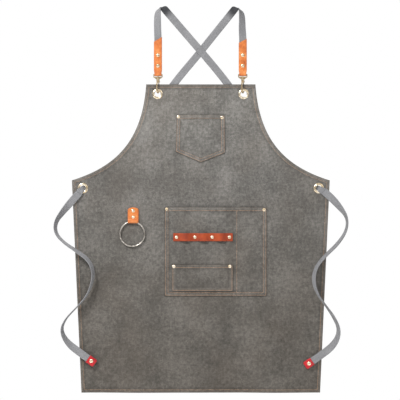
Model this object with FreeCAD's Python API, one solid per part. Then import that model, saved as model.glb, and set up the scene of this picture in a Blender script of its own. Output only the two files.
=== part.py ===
import FreeCAD, Part
import math
import os

# Canvas work apron with crossed shoulder straps, hanging by the straps.
# Frame: +X to the right, +Y away from the viewer, +Z up, millimetres.
# The origin is midway between the two strap arches, just under their tops.
# "left" and "right" are as seen from the front, the side with the pockets.

V = FreeCAD.Vector
Y_AXIS = V(0, 1, 0)
SIDES = {"left": -1, "right": 1}

# ---- driving dimensions ----------------------------------------------------------------

# Panel outline: bib, armholes, waist corners and hem.
BIB_HALF = 149.0
BIB_TOP = -203.0
ARMHOLE_UPPER_HANDLE = (160.0, -351.0)
ARMHOLE_LOWER_HANDLE = (224.0, -425.5)
WAIST_HALF = 352.0
WAIST_Z = -465.0
HEM_HALF = 326.0
HEM_Z = -1045.0
CLOTH = 1.2
HEM_WIDTH = 10.0
PANEL_FRONT = -CLOTH / 2
PANEL_BACK = CLOTH / 2
HEM_BACK = PANEL_BACK + CLOTH

# Eyelets, one at each bib corner and one at each end of the waist.
EYELET_HOLE_R = 8.2
EYELET_BARREL_R = 9.9
EYELET_FLANGE_R = 14.5
EYELET_PROUD = 2.1
PANEL_HOLE_R = 10.0
WASHER_R = 14.2
WASHER_CHAMFER = 0.5
EYELET_LIP_DROP = 1.0
EYELET_CREST = 2.5
EYELET_ROLL_H = 0.9
EYELET_ROLL_WIDTH = 2.9
TOP_EYELET_Z = -229.0
TOP_EYELET_X = {"left": -118.0, "right": 117.0}
WAIST_EYELET = (322.0, -486.5)

# Patch pockets: flat sewn border, raised middle, mouth at the top.
SEAM = 12.0
CHEST_OUTLINE = [(66.0, -286.0), (-66.0, -286.0), (-69.0, -387.5), (0.0, -416.5), (66.5, -390.5)]
CHEST_DEPTH = 5.6
TOOL_LEFT = -99.0
TOOL_RIGHT = 180.0
TOOL_TOP = -538.0
TOOL_BOTTOM = -781.0
TOOL_DIVIDER_X = 98.0
TOOL_DEPTH = 4.8
CARD_LEFT = -79.0
CARD_RIGHT = 88.0
CARD_TOP = -694.5
CARD_BOTTOM = -768.0
CARD_DEPTH = 4.8
CARD_SEAM = 15.5
TOOL_FACE = PANEL_FRONT - TOOL_DEPTH - CLOTH

# Rivets: domed head in front, shank, flat cap behind.
RIVET_HEAD_R = 4.6
TAB_RIVET_HEAD_R = 4.9
TIP_RIVET_HEAD_R = 5.2
RIVET_HEAD_H = 2.2
RIVET_RIM = 0.35
DOME_SHARE = 0.68
DOME_DROP = 0.62
RIVET_SHANK_R = 1.5
RIVET_HOLE_R = 1.55
RIVET_CAP_R = 4.6
RIVET_CAP_FLAT_R = 4.2
RIVET_CAP_H = 1.0
BORE_HALF = 40.0
CHEST_RIVETS = [(-61.5, -291.6), (58.0, -293.5)]
TOOL_RIVETS = [(-93.0, -543.5), (173.0, -545.5)]
CARD_RIVETS = [(-73.5, -699.5), (79.0, -699.5)]

# Leather tool strap: riveted at four places, bowed out between them.
LEATHER = 2.0
STRAP_TOP = -609.0
STRAP_BOTTOM = -631.0
STRAP_RIVET_X = [-66.0, -16.0, 31.0, 78.0]
STRAP_END = 9.0
STRAP_PAD_HALF = 6.5
STRAP_BOW = 6.2

# Towel tab and ring.
TAB_X = -184.5
TAB_WIDTH = 29.5
TAB_TOP = -539.0
RING_X = -187.0
RING_WIRE_R = 2.25
RING_R = 33.5
RING_TOP_Z = -577.7
TAB_BORE_R = 2.6
TAB_RIVET_Z = [-548.5, -565.5]
TAB_OUTER_MEET = 7.0
TAB_INNER_MEET = 5.4
RING_Y = PANEL_FRONT - LEATHER - TAB_BORE_R

# Webbing shoulder straps. Each arch hangs over a peg, turns edge-on at its top and shows its inner
# face on the diagonal leg.
WEB_WIDTH = 20.0
WEB = 1.6
DIAGONAL_LEAN = 40.7
# Outward distance from the middle, height, angle of the width direction in the front plane, and
# how far the webbing has turned about its own length; the outer edge goes back first.
ARCH_ROUTE = {
    "left": [
        (118.0, -48.0, 0, 12), (118.2, -24.0, 0, 20), (117.4, -9.0, 0, 34), (115.6, -0.5, 5, 52),
        (113.2, 4.3, 15, 72), (110.6, 6.7, 26, 92), (107.2, 7.0, 36, 120), (103.6, 6.0, 40, 146),
        (99.9, 3.4, 40.7, 166), (95.9, -1.2, 40.7, 178),
    ],
    "right": [
        (113.0, -48.0, 0, 20), (112.7, -24.0, 0, 32), (111.5, -11.0, 0, 42), (109.3, -3.0, 5, 56),
        (106.2, 2.0, 15, 74), (103.2, 4.2, 26, 94), (99.8, 5.6, 36, 122), (96.4, 5.0, 40, 148),
        (92.9, 2.4, 40.7, 167), (89.0, -2.2, 40.7, 178),
    ],
}
CROSS_Z = -112.0
CROSS_Y = {"left": 5.0, "right": 7.4}
BACK_Y = 4.0
BACK_ROUTE = [(74.5, -203.5), (122.0, -272.0), (160.0, -342.0), (197.0, -405.0), (237.0, -450.0),
              (283.0, -477.0)]
WEB_IN_HOLE = 13.0
# Along the strap from the waist eyelet's centre: distance, y and width, before and after the hole.
HOLE_APPROACH = [(9.0, 4.2, 17.0), (2.2, 3.2, WEB_IN_HOLE)]
HOLE_EXIT = [(2.2, -3.4, WEB_IN_HOLE), (9.0, -4.7, 17.5)]

# Leather strap ends with the snap hooks.
HOOK_X = {"left": -117.0, "right": 114.5}
TAB_HALF = 11.0
TAB_CUT_LOW = {"left": -87.0, "right": -90.0}
TAB_CUT_HIGH = {"left": -74.0, "right": -79.0}
FOLD_HALF = 9.8
TAB_RIVETS_Z = [-123.5, -152.5]
WEB_END_Z = -160.0
WEB_PAST_FOLD = 20.0
BAR_Z = -176.5
BAR_BORE_R = 2.1
FOLD_MEET_Z = -164.0
FOLD_TAPER_Z = -173.5

# Snap hook: strap eye, swivel, J-shaped body, gate, pin and spring.
EYE_HALF = 12.7
EYE_SLOT_HALF = 10.1
EYE_THICK = 2.8
EYE_TOP = -175.2
SLOT_TOP = -177.8
SLOT_BOTTOM = -182.3
EYE_SHOULDER_Z = -183.4
EYE_BOTTOM = -189.2
EYE_FOOT_HALF = 4.8
EYE_CORNER = 1.2
SOCKET_R = 3.9
SOCKET_BOTTOM = -189.4
HOOK_TURN = -20.0
SWIVEL_R = 2.0
SWIVEL_BORE_R = 2.06
COLLAR_R = 4.2
COLLAR_TOP = -189.5
COLLAR_BOTTOM = -192.6
HOOK_WIRE_R = 2.1
HOOK_BEND_R = 8.0
HOOK_BEND_Z = -217.6
HOOK_TIP_Z = -205.6
SHOULDER_Z = -202.0
GATE_PIN_Y = 4.6
GATE_PIN_Z = -195.6
GATE_PIN_R = 0.8
GATE_HALF = 0.95
GATE_HUB_R = 2.1
GATE_PLAY = 0.05
GATE_SLOT_FRONT = 0.6
POST_SINK = 0.4
POST_HEAD_R = 2.8
POST_HEAD_H = 0.9
CHEEK_FRONT = -3.0
KNUCKLE_R = 2.4
SPRING_R = 1.35
SPRING_WIRE_R = 0.28
SPRING_OFFSETS = (1.3, 1.75)
GATE_REACH = 9.75
EAR_INNER = 2.1
EAR_OUTER = 3.2

# Waist ties: x, y, z of each route point and how far the webbing turns edge-on there, degrees.
TIE_ROUTES = {
    "left": [
        (-331.5, -4.8, -499.5, 0), (-350.0, -7.0, -520.0, 8), (-377.5, -11.0, -553.0, 45),
        (-395.5, -14.0, -579.0, 66), (-395.5, -15.0, -609.0, 72), (-372.0, -15.0, -635.0, 75),
        (-336.5, -15.0, -658.0, 68), (-305.0, -15.0, -681.0, 66), (-291.5, -15.0, -711.0, 70),
        (-295.5, -15.0, -747.0, 75), (-312.0, -15.0, -783.5, 82), (-342.0, -15.0, -815.0, 84),
        (-369.5, -15.0, -844.0, 82), (-380.5, -14.0, -874.0, 74), (-364.0, -11.0, -907.0, 48),
        (-332.5, -6.5, -932.5, 0), (-293.0, -5.0, -961.6, 0),
    ],
    "right": [
        (335.5, -4.8, -495.1, 0), (350.0, -6.0, -507.0, -6), (376.0, -10.0, -535.0, -40),
        (399.0, -14.0, -566.5, -80), (396.5, -15.0, -602.0, -78), (373.0, -15.0, -637.5, -68),
        (339.0, -15.0, -669.5, -70), (313.0, -15.0, -700.0, -70), (305.0, -15.0, -737.0, -62),
        (316.0, -15.0, -774.0, -78), (339.0, -15.0, -805.0, -80), (362.5, -15.0, -838.0, -70),
        (377.5, -14.0, -872.0, -70), (368.0, -11.0, -906.0, -46), (337.5, -6.5, -936.0, 0),
        (289.0, -5.0, -968.0, 0),
    ],
}
TIP_LENGTH = 24.0
TIP_HALF = 11.0
TIP_SLOT = 18.0
TIP_SLOT_HALF = 10.1
TIP_LAYER = 1.8
TIP_RIVET_BACK = 7.0
TIP_CORNER = 3.5
RUN_SHARE = 0.45


# ---- helpers ---------------------------------------------------------------------------

def save(name, shape):
    shape.exportStep(os.path.join("parts", name + ".step"))
    print(f"{name:24s} solids {len(shape.Solids)}  volume {shape.Volume:10.1f} mm3  valid {shape.isValid()}")


def box(x0, x1, y0, y1, z0, z1):
    return Part.makeBox(x1 - x0, y1 - y0, z1 - z0, V(x0, y0, z0))


def flat_face(points):
    return Part.Face(Part.makePolygon(points + points[:1]))


def polygon_face(points):
    """Flat face in y = 0 through points given as (x, z)."""
    return flat_face([V(x, 0, z) for x, z in points])


def slab(face, y_front, y_back):
    """Extrude a face that lies in y = 0 so that it fills y_front to y_back."""
    return face.translated(V(0, y_front, 0)).extrude(V(0, y_back - y_front, 0))


def inset(points, distance):
    """Move every side of a counter-clockwise (x, z) polygon inwards by distance."""
    moved = []
    count = len(points)
    for i in range(count):
        (ax, az), (bx, bz), (cx, cz) = points[i - 1], points[i], points[(i + 1) % count]
        before = math.hypot(bx - ax, bz - az)
        after = math.hypot(cx - bx, cz - bz)
        ux, uz = (bx - ax) / before, (bz - az) / before
        wx, wz = (cx - bx) / after, (cz - bz) / after
        scale = distance / (1 + ux * wx + uz * wz)
        moved.append((bx - (uz + wz) * scale, bz + (ux + wx) * scale))
    return moved


def bore_y(x, z, radius):
    """Long cylinder along Y, to cut a hole through cloth or leather."""
    return Part.makeCylinder(radius, 2 * BORE_HALF, V(x, -BORE_HALF, z), Y_AXIS)


def drilled(shape, centres, radius=RIVET_HOLE_R):
    for x, z in centres:
        shape = shape.cut(bore_y(x, z, radius))
    return shape


def turned_y(segments, x, z):
    """Solid of revolution about a Y-parallel axis; segments hold (radius, y) points, 3 for an arc."""
    edges = []
    for points in segments:
        places = [V(r, y, 0) for r, y in points]
        if len(places) == 3:
            edges.append(Part.Arc(*places).toShape())
        else:
            edges.append(Part.LineSegment(*places).toShape())
    profile = Part.Face(Part.Wire(edges))
    return profile.revolve(V(0, 0, 0), Y_AXIS, 360).translated(V(x, 0, z))


def rivet(x, z, y_front, y_back, head_r=RIVET_HEAD_R):
    """Rivet whose domed head sits on y_front and whose cap closes on y_back."""
    top = y_front - RIVET_HEAD_H
    cap = y_back + RIVET_CAP_H
    shoulder = (head_r, y_front - RIVET_RIM)
    crown = (DOME_SHARE * head_r, top + DOME_DROP)
    return turned_y([
        [(0, top), crown, shoulder],
        [shoulder, (head_r, y_front)],
        [(head_r, y_front), (RIVET_SHANK_R, y_front)],
        [(RIVET_SHANK_R, y_front), (RIVET_SHANK_R, y_back)],
        [(RIVET_SHANK_R, y_back), (RIVET_CAP_R, y_back)],
        [(RIVET_CAP_R, y_back), (RIVET_CAP_FLAT_R, cap)],
        [(RIVET_CAP_FLAT_R, cap), (0, cap)],
        [(0, cap), (0, top)],
    ], x, z)


def rivets(centres, y_front, y_back, head_r=RIVET_HEAD_R):
    return Part.makeCompound([rivet(x, z, y_front, y_back, head_r) for x, z in centres])


# ---- canvas panel and pockets ----------------------------------------------------------

def panel_face(margin):
    """The apron's outline moved inwards by margin, with curved armholes."""
    left = [(-BIB_HALF, BIB_TOP)]
    left += [(-x, z) for x, z in (ARMHOLE_UPPER_HANDLE, ARMHOLE_LOWER_HANDLE)]
    left += [(-WAIST_HALF, WAIST_Z), (-HEM_HALF, HEM_Z)]
    right = [(-x, z) for x, z in reversed(left)]
    p = [V(x, 0, z) for x, z in inset(left + right, margin)]
    edges = []
    for start in (0, 6):
        curve = Part.BezierCurve()
        curve.setPoles(p[start:start + 4])
        edges.append(curve.toShape())
    for a, b in ((3, 4), (4, 5), (5, 6), (9, 0)):
        edges.append(Part.LineSegment(p[a], p[b]).toShape())
    return Part.Face(Part.Wire(Part.__sortEdges__(edges)))


def eyelet_places():
    places = {"top_" + side: (TOP_EYELET_X[side], TOP_EYELET_Z) for side in SIDES}
    for side, sign in SIDES.items():
        places["waist_" + side] = (sign * WAIST_EYELET[0], WAIST_EYELET[1])
    return places


def make_panel():
    hem = slab(panel_face(0), PANEL_BACK, HEM_BACK).cut(slab(panel_face(HEM_WIDTH), PANEL_BACK, HEM_BACK))
    panel = slab(panel_face(0), PANEL_FRONT, PANEL_BACK).fuse(hem).removeSplitter()
    panel = drilled(panel, eyelet_places().values(), PANEL_HOLE_R)
    tab_rivets = [(TAB_X, z) for z in TAB_RIVET_Z]
    return drilled(panel, CHEST_RIVETS + TOOL_RIVETS + tab_rivets)


def patch(corners, top_count, margin, rise):
    """Pocket outline, inset on its sewn sides; its first top_count corners are the mouth's."""
    raised = [(x, z + rise) if i < top_count else (x, z) for i, (x, z) in enumerate(corners)]
    return polygon_face(inset(raised, margin))


def pocket(outline, bays, base_y, depth, holes):
    """Patch pocket: a flat sewn border and one raised bay, open at the top, per outline in bays."""
    body = slab(polygon_face(outline), base_y - CLOTH, base_y)
    for bay in bays:
        raised = patch(bay, 2, CLOTH, 2 * CLOTH)
        top = max(z for x, z in outline)
        raised_slab = slab(raised, base_y - depth - CLOTH, base_y)
        raised_slab = raised_slab.cut(box(-500, 500, -50, 50, top, top + 50))
        body = body.fuse(raised_slab)
    for bay in bays:
        cavity = patch(bay, 2, 2 * CLOTH, 30)
        body = body.cut(slab(cavity, base_y - depth, base_y))
    return drilled(body.removeSplitter(), holes)


def rectangle(x0, x1, bottom, top):
    return [(x1, top), (x0, top), (x0, bottom), (x1, bottom)]


def make_pockets():
    raised = [(x, z + SEAM) if i < 2 else (x, z) for i, (x, z) in enumerate(CHEST_OUTLINE)]
    chest = pocket(CHEST_OUTLINE, [inset(raised, SEAM)], PANEL_FRONT, CHEST_DEPTH, CHEST_RIVETS)
    low = TOOL_BOTTOM + SEAM
    wide = rectangle(TOOL_LEFT + SEAM, TOOL_DIVIDER_X - SEAM / 2, low, TOOL_TOP)
    narrow = rectangle(TOOL_DIVIDER_X + SEAM / 2, TOOL_RIGHT - SEAM, low, TOOL_TOP)
    strap_holes = [(x, (STRAP_TOP + STRAP_BOTTOM) / 2) for x in STRAP_RIVET_X]
    tool = pocket(rectangle(TOOL_LEFT, TOOL_RIGHT, TOOL_BOTTOM, TOOL_TOP), [wide, narrow],
                  PANEL_FRONT, TOOL_DEPTH, TOOL_RIVETS + CARD_RIVETS + strap_holes)
    card_bay = rectangle(CARD_LEFT + CARD_SEAM, CARD_RIGHT - CARD_SEAM, CARD_BOTTOM + SEAM, CARD_TOP)
    card = pocket(rectangle(CARD_LEFT, CARD_RIGHT, CARD_BOTTOM, CARD_TOP), [card_bay],
                  TOOL_FACE, CARD_DEPTH, CARD_RIVETS)
    save("chest_pocket", chest)
    save("tool_pocket", tool)
    save("card_pocket", card)
    save("chest_pocket_rivets", rivets(CHEST_RIVETS, PANEL_FRONT - CLOTH, PANEL_BACK))
    save("tool_pocket_rivets", rivets(TOOL_RIVETS, PANEL_FRONT - CLOTH, PANEL_BACK))
    save("card_pocket_rivets", rivets(CARD_RIVETS, TOOL_FACE - CLOTH, TOOL_FACE + CLOTH))


# ---- leather tool strap ----------------------------------------------------------------

def arch_face(x0, x1, foot_y, top_y):
    """Region in a z plane under the arc from (x0, foot_y) over top_y to (x1, foot_y)."""
    start = V(x0, foot_y, STRAP_BOTTOM)
    end = V(x1, foot_y, STRAP_BOTTOM)
    crown = V((x0 + x1) / 2, top_y, STRAP_BOTTOM)
    edges = [Part.Arc(start, crown, end).toShape(), Part.LineSegment(end, start).toShape()]
    return Part.Face(Part.Wire(edges))


def make_tool_strap():
    height = V(0, 0, STRAP_TOP - STRAP_BOTTOM)
    outer_y = TOOL_FACE - LEATHER
    ends = (STRAP_RIVET_X[0] - STRAP_END, STRAP_RIVET_X[-1] + STRAP_END)
    strap = box(ends[0], ends[1], outer_y, TOOL_FACE, STRAP_BOTTOM, STRAP_TOP)
    for left, right in zip(STRAP_RIVET_X, STRAP_RIVET_X[1:]):
        x0, x1 = left + STRAP_PAD_HALF, right - STRAP_PAD_HALF
        strap = strap.fuse(arch_face(x0, x1, TOOL_FACE - LEATHER, outer_y - STRAP_BOW).extrude(height))
    for left, right in zip(STRAP_RIVET_X, STRAP_RIVET_X[1:]):
        x0, x1 = left + STRAP_PAD_HALF + LEATHER, right - STRAP_PAD_HALF - LEATHER
        strap = strap.cut(arch_face(x0, x1, TOOL_FACE, TOOL_FACE - STRAP_BOW).extrude(height))
    centres = [(x, (STRAP_TOP + STRAP_BOTTOM) / 2) for x in STRAP_RIVET_X]
    save("tool_strap", drilled(strap.removeSplitter(), centres))
    save("tool_strap_rivets", rivets(centres, outer_y, TOOL_FACE + CLOTH))


# ---- folded leather: towel tab and strap ends ------------------------------------------

def tangent_point(y, z, centre_y, centre_z, radius, side):
    """Where the line from (y, z) touches a circle below it, on the +Y (1) or -Y (-1) side."""
    dy, dz = y - centre_y, z - centre_z
    angle = math.atan2(dz, dy) - side * math.acos(radius / math.hypot(dy, dz))
    return centre_y + radius * math.cos(angle), centre_z + radius * math.sin(angle)


def drop_face(centre_y, centre_z, radius, y_front, y_back, meet_z, top_z):
    """Drop-shaped region in x = 0: a circle at the bottom, drawn in to y_front..y_back above meet_z."""
    back = tangent_point(y_back, meet_z, centre_y, centre_z, radius, 1)
    front = tangent_point(y_front, meet_z, centre_y, centre_z, radius, -1)
    low = V(0, centre_y, centre_z - radius)
    edges = [Part.Arc(V(0, *front), low, V(0, *back)).toShape()]
    outline = [back, (y_back, meet_z)]
    if y_back > y_front:
        outline += [(y_back, top_z), (y_front, top_z), (y_front, meet_z)]
    outline.append(front)
    for a, b in zip(outline, outline[1:]):
        edges.append(Part.LineSegment(V(0, *a), V(0, *b)).toShape())
    return Part.Face(Part.Wire(edges))


def make_towel_tab():
    centre_y = RING_Y
    middle = PANEL_FRONT - LEATHER
    outer = drop_face(centre_y, RING_TOP_Z, TAB_BORE_R + LEATHER, middle - LEATHER, middle + LEATHER,
                      RING_TOP_Z + TAB_OUTER_MEET, TAB_TOP)
    inner = drop_face(centre_y, RING_TOP_Z, TAB_BORE_R, middle, middle, RING_TOP_Z + TAB_INNER_MEET, TAB_TOP)
    left = TAB_X - TAB_WIDTH / 2
    tab = outer.cut(inner).extrude(V(TAB_WIDTH, 0, 0)).translated(V(left, 0, 0))
    shoulder = TAB_TOP - TAB_WIDTH / 4
    low = RING_TOP_Z - 20
    right = left + TAB_WIDTH
    edges = [
        Part.Arc(V(left, 0, shoulder), V(TAB_X, 0, TAB_TOP), V(right, 0, shoulder)).toShape(),
        Part.LineSegment(V(right, 0, shoulder), V(right, 0, low)).toShape(),
        Part.LineSegment(V(right, 0, low), V(left, 0, low)).toShape(),
        Part.LineSegment(V(left, 0, low), V(left, 0, shoulder)).toShape(),
    ]
    tab = tab.common(slab(Part.Face(Part.Wire(edges)), -40, 40))
    tab = tab.cut(ring_sweep())
    centres = [(TAB_X, z) for z in TAB_RIVET_Z]
    save("towel_tab", drilled(tab, centres))
    save("towel_tab_rivets", rivets(centres, middle - LEATHER, PANEL_BACK))


def ring_sweep():
    """Space that the ring's wire sweeps at the fold's two ends as the ring swings forward."""
    reach = TAB_WIDTH
    gap = TAB_BORE_R - RING_WIRE_R
    points = [V(-reach, 0, 0)]
    steps = 24
    for i in range(steps + 1):
        x = -reach + 2 * reach * i / steps
        radius = RING_R - math.sqrt(RING_R ** 2 - x ** 2) + RING_WIRE_R + gap
        points.append(V(x, 0, radius))
    points.append(V(reach, 0, 0))
    profile = Part.Face(Part.makePolygon(points + points[:1]))
    sweep = profile.revolve(V(0, 0, 0), V(1, 0, 0), 360).translated(V(RING_X, RING_Y, RING_TOP_Z))
    limit = box(-400, 0, RING_Y - 30, RING_Y + TAB_BORE_R, RING_TOP_Z - 30, RING_TOP_Z + TAB_BORE_R)
    return sweep.common(limit)


def make_towel_ring():
    save("towel_ring", Part.makeTorus(RING_R, RING_WIRE_R, V(RING_X, RING_Y, RING_TOP_Z - RING_R), Y_AXIS))


def make_hook_tab(side):
    x = HOOK_X[side]
    half = WEB / 2
    top = TAB_CUT_HIGH[side]
    outer = drop_face(0, BAR_Z, BAR_BORE_R + LEATHER, -half - LEATHER, half + LEATHER, FOLD_MEET_Z, top)
    inner = drop_face(0, BAR_Z, BAR_BORE_R, -half, half, FOLD_MEET_Z, top + 1)
    tab = outer.cut(inner).extrude(V(2 * TAB_HALF, 0, 0)).translated(V(x - TAB_HALF, 0, 0))
    outline = polygon_face([
        (x - TAB_HALF, TAB_CUT_LOW[side]), (x - TAB_HALF, FOLD_MEET_Z), (x - FOLD_HALF, FOLD_TAPER_Z),
        (x - FOLD_HALF, BAR_Z - 10), (x + FOLD_HALF, BAR_Z - 10), (x + FOLD_HALF, FOLD_TAPER_Z),
        (x + TAB_HALF, FOLD_MEET_Z), (x + TAB_HALF, top),
    ])
    tab = tab.common(slab(outline, -20, 20))
    centres = [(x, z) for z in TAB_RIVETS_Z]
    save("hook_tab_" + side, drilled(tab, centres))
    save("hook_tab_rivets_" + side, rivets(centres, -half - LEATHER, half + LEATHER, TAB_RIVET_HEAD_R))


# ---- metal hardware --------------------------------------------------------------------

def make_eyelets():
    crest = PANEL_FRONT - EYELET_PROUD
    lip = (EYELET_HOLE_R, crest + EYELET_LIP_DROP)
    throat = (EYELET_HOLE_R, HEM_BACK + 0.1)
    roll = (EYELET_HOLE_R + EYELET_ROLL_WIDTH / 2, HEM_BACK + EYELET_ROLL_H)
    roll_end = (EYELET_HOLE_R + EYELET_ROLL_WIDTH, HEM_BACK)
    for name, (x, z) in eyelet_places().items():
        eyelet = turned_y([
            [lip, throat],
            [throat, roll, roll_end],
            [roll_end, (EYELET_BARREL_R, HEM_BACK)],
            [(EYELET_BARREL_R, HEM_BACK), (EYELET_BARREL_R, PANEL_FRONT)],
            [(EYELET_BARREL_R, PANEL_FRONT), (EYELET_FLANGE_R, PANEL_FRONT)],
            [(EYELET_FLANGE_R, PANEL_FRONT), (EYELET_HOLE_R + EYELET_CREST, crest), lip],
        ], x, z)
        washer = turned_y([
            [(PANEL_HOLE_R, PANEL_BACK), (PANEL_HOLE_R, HEM_BACK)],
            [(PANEL_HOLE_R, HEM_BACK), (WASHER_R - WASHER_CHAMFER, HEM_BACK)],
            [(WASHER_R - WASHER_CHAMFER, HEM_BACK), (WASHER_R, PANEL_BACK)],
            [(WASHER_R, PANEL_BACK), (PANEL_HOLE_R, PANEL_BACK)],
        ], x, z)
        save("eyelet_" + name, eyelet)
        save("washer_" + name, washer)


def make_hook_eye(side):
    """Flat eye that tapers to a socket; the strap's fold goes through its slot."""
    x = HOOK_X[side]
    frame = slab(polygon_face([
        (x - EYE_HALF, EYE_TOP), (x - EYE_HALF, EYE_SHOULDER_Z), (x - EYE_FOOT_HALF, EYE_BOTTOM),
        (x + EYE_FOOT_HALF, EYE_BOTTOM), (x + EYE_HALF, EYE_SHOULDER_Z), (x + EYE_HALF, EYE_TOP),
    ]), -EYE_THICK / 2, EYE_THICK / 2)
    corners = [e for e in frame.Edges if abs(e.tangentAt(e.FirstParameter).y) > 0.9]
    frame = frame.makeFillet(EYE_CORNER, corners)
    frame = frame.cut(box(x - EYE_SLOT_HALF, x + EYE_SLOT_HALF, -5, 5, SLOT_BOTTOM, SLOT_TOP))
    socket = Part.makeCylinder(SOCKET_R, SLOT_BOTTOM - SOCKET_BOTTOM - 0.1, V(x, 0, SOCKET_BOTTOM))
    bore = Part.makeCylinder(SWIVEL_BORE_R, 12, V(x, 0, SOCKET_BOTTOM - 2))
    save("hook_eye_" + side, frame.fuse(socket).cut(bore).removeSplitter())


def rod(start, end, radius):
    return Part.makeCylinder(radius, (end - start).Length, start, end - start)


def hook_wire(x):
    """The J: out of the collar, down in front of the cloth, round under it and up behind."""
    neck = V(x, 0, COLLAR_BOTTOM + 0.6)
    shoulder = V(x, -HOOK_BEND_R, SHOULDER_Z)
    front = V(x, -HOOK_BEND_R, HOOK_BEND_Z)
    back = V(x, HOOK_BEND_R, HOOK_BEND_Z)
    tip = V(x, HOOK_BEND_R, HOOK_TIP_Z)
    section = Part.Face(Part.Wire(Part.makeCircle(HOOK_WIRE_R, front, V(0, 0, 1))))
    bend = section.revolve(V(x, 0, HOOK_BEND_Z), V(1, 0, 0), 180)
    knee = Part.makeSphere(HOOK_WIRE_R, shoulder)
    slanted = rod(neck, shoulder, HOOK_WIRE_R)
    return slanted.fuse([knee, rod(shoulder, front, HOOK_WIRE_R), bend, rod(back, tip, HOOK_WIRE_R)])


def cross_rod(x, radius, half=10.0):
    """Cylinder along X, centred on the gate's pin."""
    return Part.makeCylinder(radius, 2 * half, V(x - half, GATE_PIN_Y, GATE_PIN_Z), V(1, 0, 0))


def save_turned(name, side, shape):
    """Save a hook part turned about the swivel to how the hook hangs."""
    save(name + side, shape.rotated(V(HOOK_X[side], 0, 0), V(0, 0, 1), HOOK_TURN))


def make_hook(side):
    x = HOOK_X[side]
    post = Part.makeCylinder(SWIVEL_R, SLOT_BOTTOM - COLLAR_TOP + POST_SINK, V(x, 0, COLLAR_TOP - POST_SINK))
    head = Part.makeCylinder(POST_HEAD_R, POST_HEAD_H, V(x, 0, SLOT_BOTTOM))
    collar = Part.makeCylinder(COLLAR_R, COLLAR_TOP - COLLAR_BOTTOM, V(x, 0, COLLAR_BOTTOM))
    cheeks = box(x - EAR_OUTER, x + EAR_OUTER, CHEEK_FRONT, GATE_PIN_Y,
                 GATE_PIN_Z - KNUCKLE_R, COLLAR_BOTTOM + 0.5)
    knuckle = cross_rod(x, KNUCKLE_R, EAR_OUTER)
    body = post.fuse([head, collar, cheeks, knuckle, hook_wire(x)])
    slot = box(x - EAR_INNER, x + EAR_INNER, GATE_SLOT_FRONT, 12, GATE_PIN_Z - 12, COLLAR_BOTTOM)
    slot = slot.cut(box(x - 6, x + 6, 0, 14, HOOK_TIP_Z - 8, HOOK_TIP_Z + 0.3))
    save_turned("hook_body_", side, body.cut(slot).cut(cross_rod(x, GATE_PIN_R)).removeSplitter())
    save_turned("hook_gate_pin_", side, cross_rod(x, GATE_PIN_R, EAR_OUTER))
    arm_points = [(GATE_PIN_Y - 0.6, GATE_PIN_Z - 1.2), (GATE_PIN_Y + 2.0, GATE_PIN_Z + 0.4),
                  (HOOK_BEND_R + 1.6, HOOK_TIP_Z + 0.4), (HOOK_BEND_R - 1.4, HOOK_TIP_Z + 0.4)]
    arm = flat_face([V(x - GATE_HALF, y, z) for y, z in arm_points]).extrude(V(2 * GATE_HALF, 0, 0))
    gate = cross_rod(x, GATE_HUB_R, GATE_HALF).fuse(arm.common(cross_rod(x, GATE_REACH)))
    save_turned("hook_gate_", side, gate.cut(cross_rod(x, GATE_PIN_R + GATE_PLAY)).removeSplitter())
    coils = [Part.makeTorus(SPRING_R, SPRING_WIRE_R, V(x + offset, GATE_PIN_Y, GATE_PIN_Z), V(1, 0, 0))
             for offset in SPRING_OFFSETS]
    save_turned("hook_spring_", side, coils[0].fuse(coils[1]))


# ---- webbing ---------------------------------------------------------------------------

def sections(stations, thickness):
    """Four corners of the band at each station of (centre, width direction, width)."""
    rings = []
    count = len(stations)
    for i, (centre, across, width) in enumerate(stations):
        before = stations[max(i - 1, 0)][0]
        after = stations[min(i + 1, count - 1)][0]
        along = (after - before).normalize()
        half_w = across * (width / 2)
        half_t = across.cross(along).normalize() * (thickness / 2)
        rings.append([centre + half_w + half_t, centre + half_w - half_t,
                      centre - half_w - half_t, centre - half_w + half_t])
    return rings


def band(rings):
    """Closed solid through four-cornered sections."""
    faces = [flat_face(rings[0]), flat_face(rings[-1][::-1])]
    for a, b in zip(rings, rings[1:]):
        for i, j in ((0, 1), (1, 2), (2, 3)):
            faces.append(flat_face([a[i], a[j], b[j]]))
            faces.append(flat_face([a[i], b[j], b[i]]))
        # The last side is split along the same diagonal as the one opposite, so a twist keeps its thickness.
        faces.append(flat_face([a[3], a[0], b[3]]))
        faces.append(flat_face([a[0], b[0], b[3]]))
    shell = Part.Shell(faces)
    shell.sewShape()
    solid = Part.Solid(shell)
    if solid.Volume < 0:
        solid.reverse()
    return solid


def report_volume(name, shape, stations, thickness):
    expected = 0
    for (a, _, wa), (b, _, wb) in zip(stations, stations[1:]):
        expected += (b - a).Length * (wa + wb) / 2 * thickness
    length = sum((b[0] - a[0]).Length for a, b in zip(stations, stations[1:]))
    print(f"{name}: length {length:.1f} mm, volume {shape.Volume:.0f}, section times length {expected:.0f}")


def lean(angle):
    return V(math.cos(math.radians(angle)), 0, math.sin(math.radians(angle)))


def in_plane_lean(before, after):
    """Angle of the width direction of webbing that runs from before to after facing the front."""
    return math.degrees(math.atan2(after.x - before.x, before.z - after.z))


def strap_arch(side):
    """Stations over the peg, from the upright front leg to the diagonal leg."""
    sign = SIDES[side]
    stations = []
    for out, z, slant, turn in ARCH_ROUTE[side]:
        flat = V(math.cos(math.radians(slant)), 0, -sign * math.sin(math.radians(slant)))
        turned = math.radians(turn)
        across = flat * math.cos(turned) + Y_AXIS * (sign * math.sin(turned))
        stations.append((V(sign * out, 0, z), across, WEB_WIDTH))
    return stations


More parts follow.
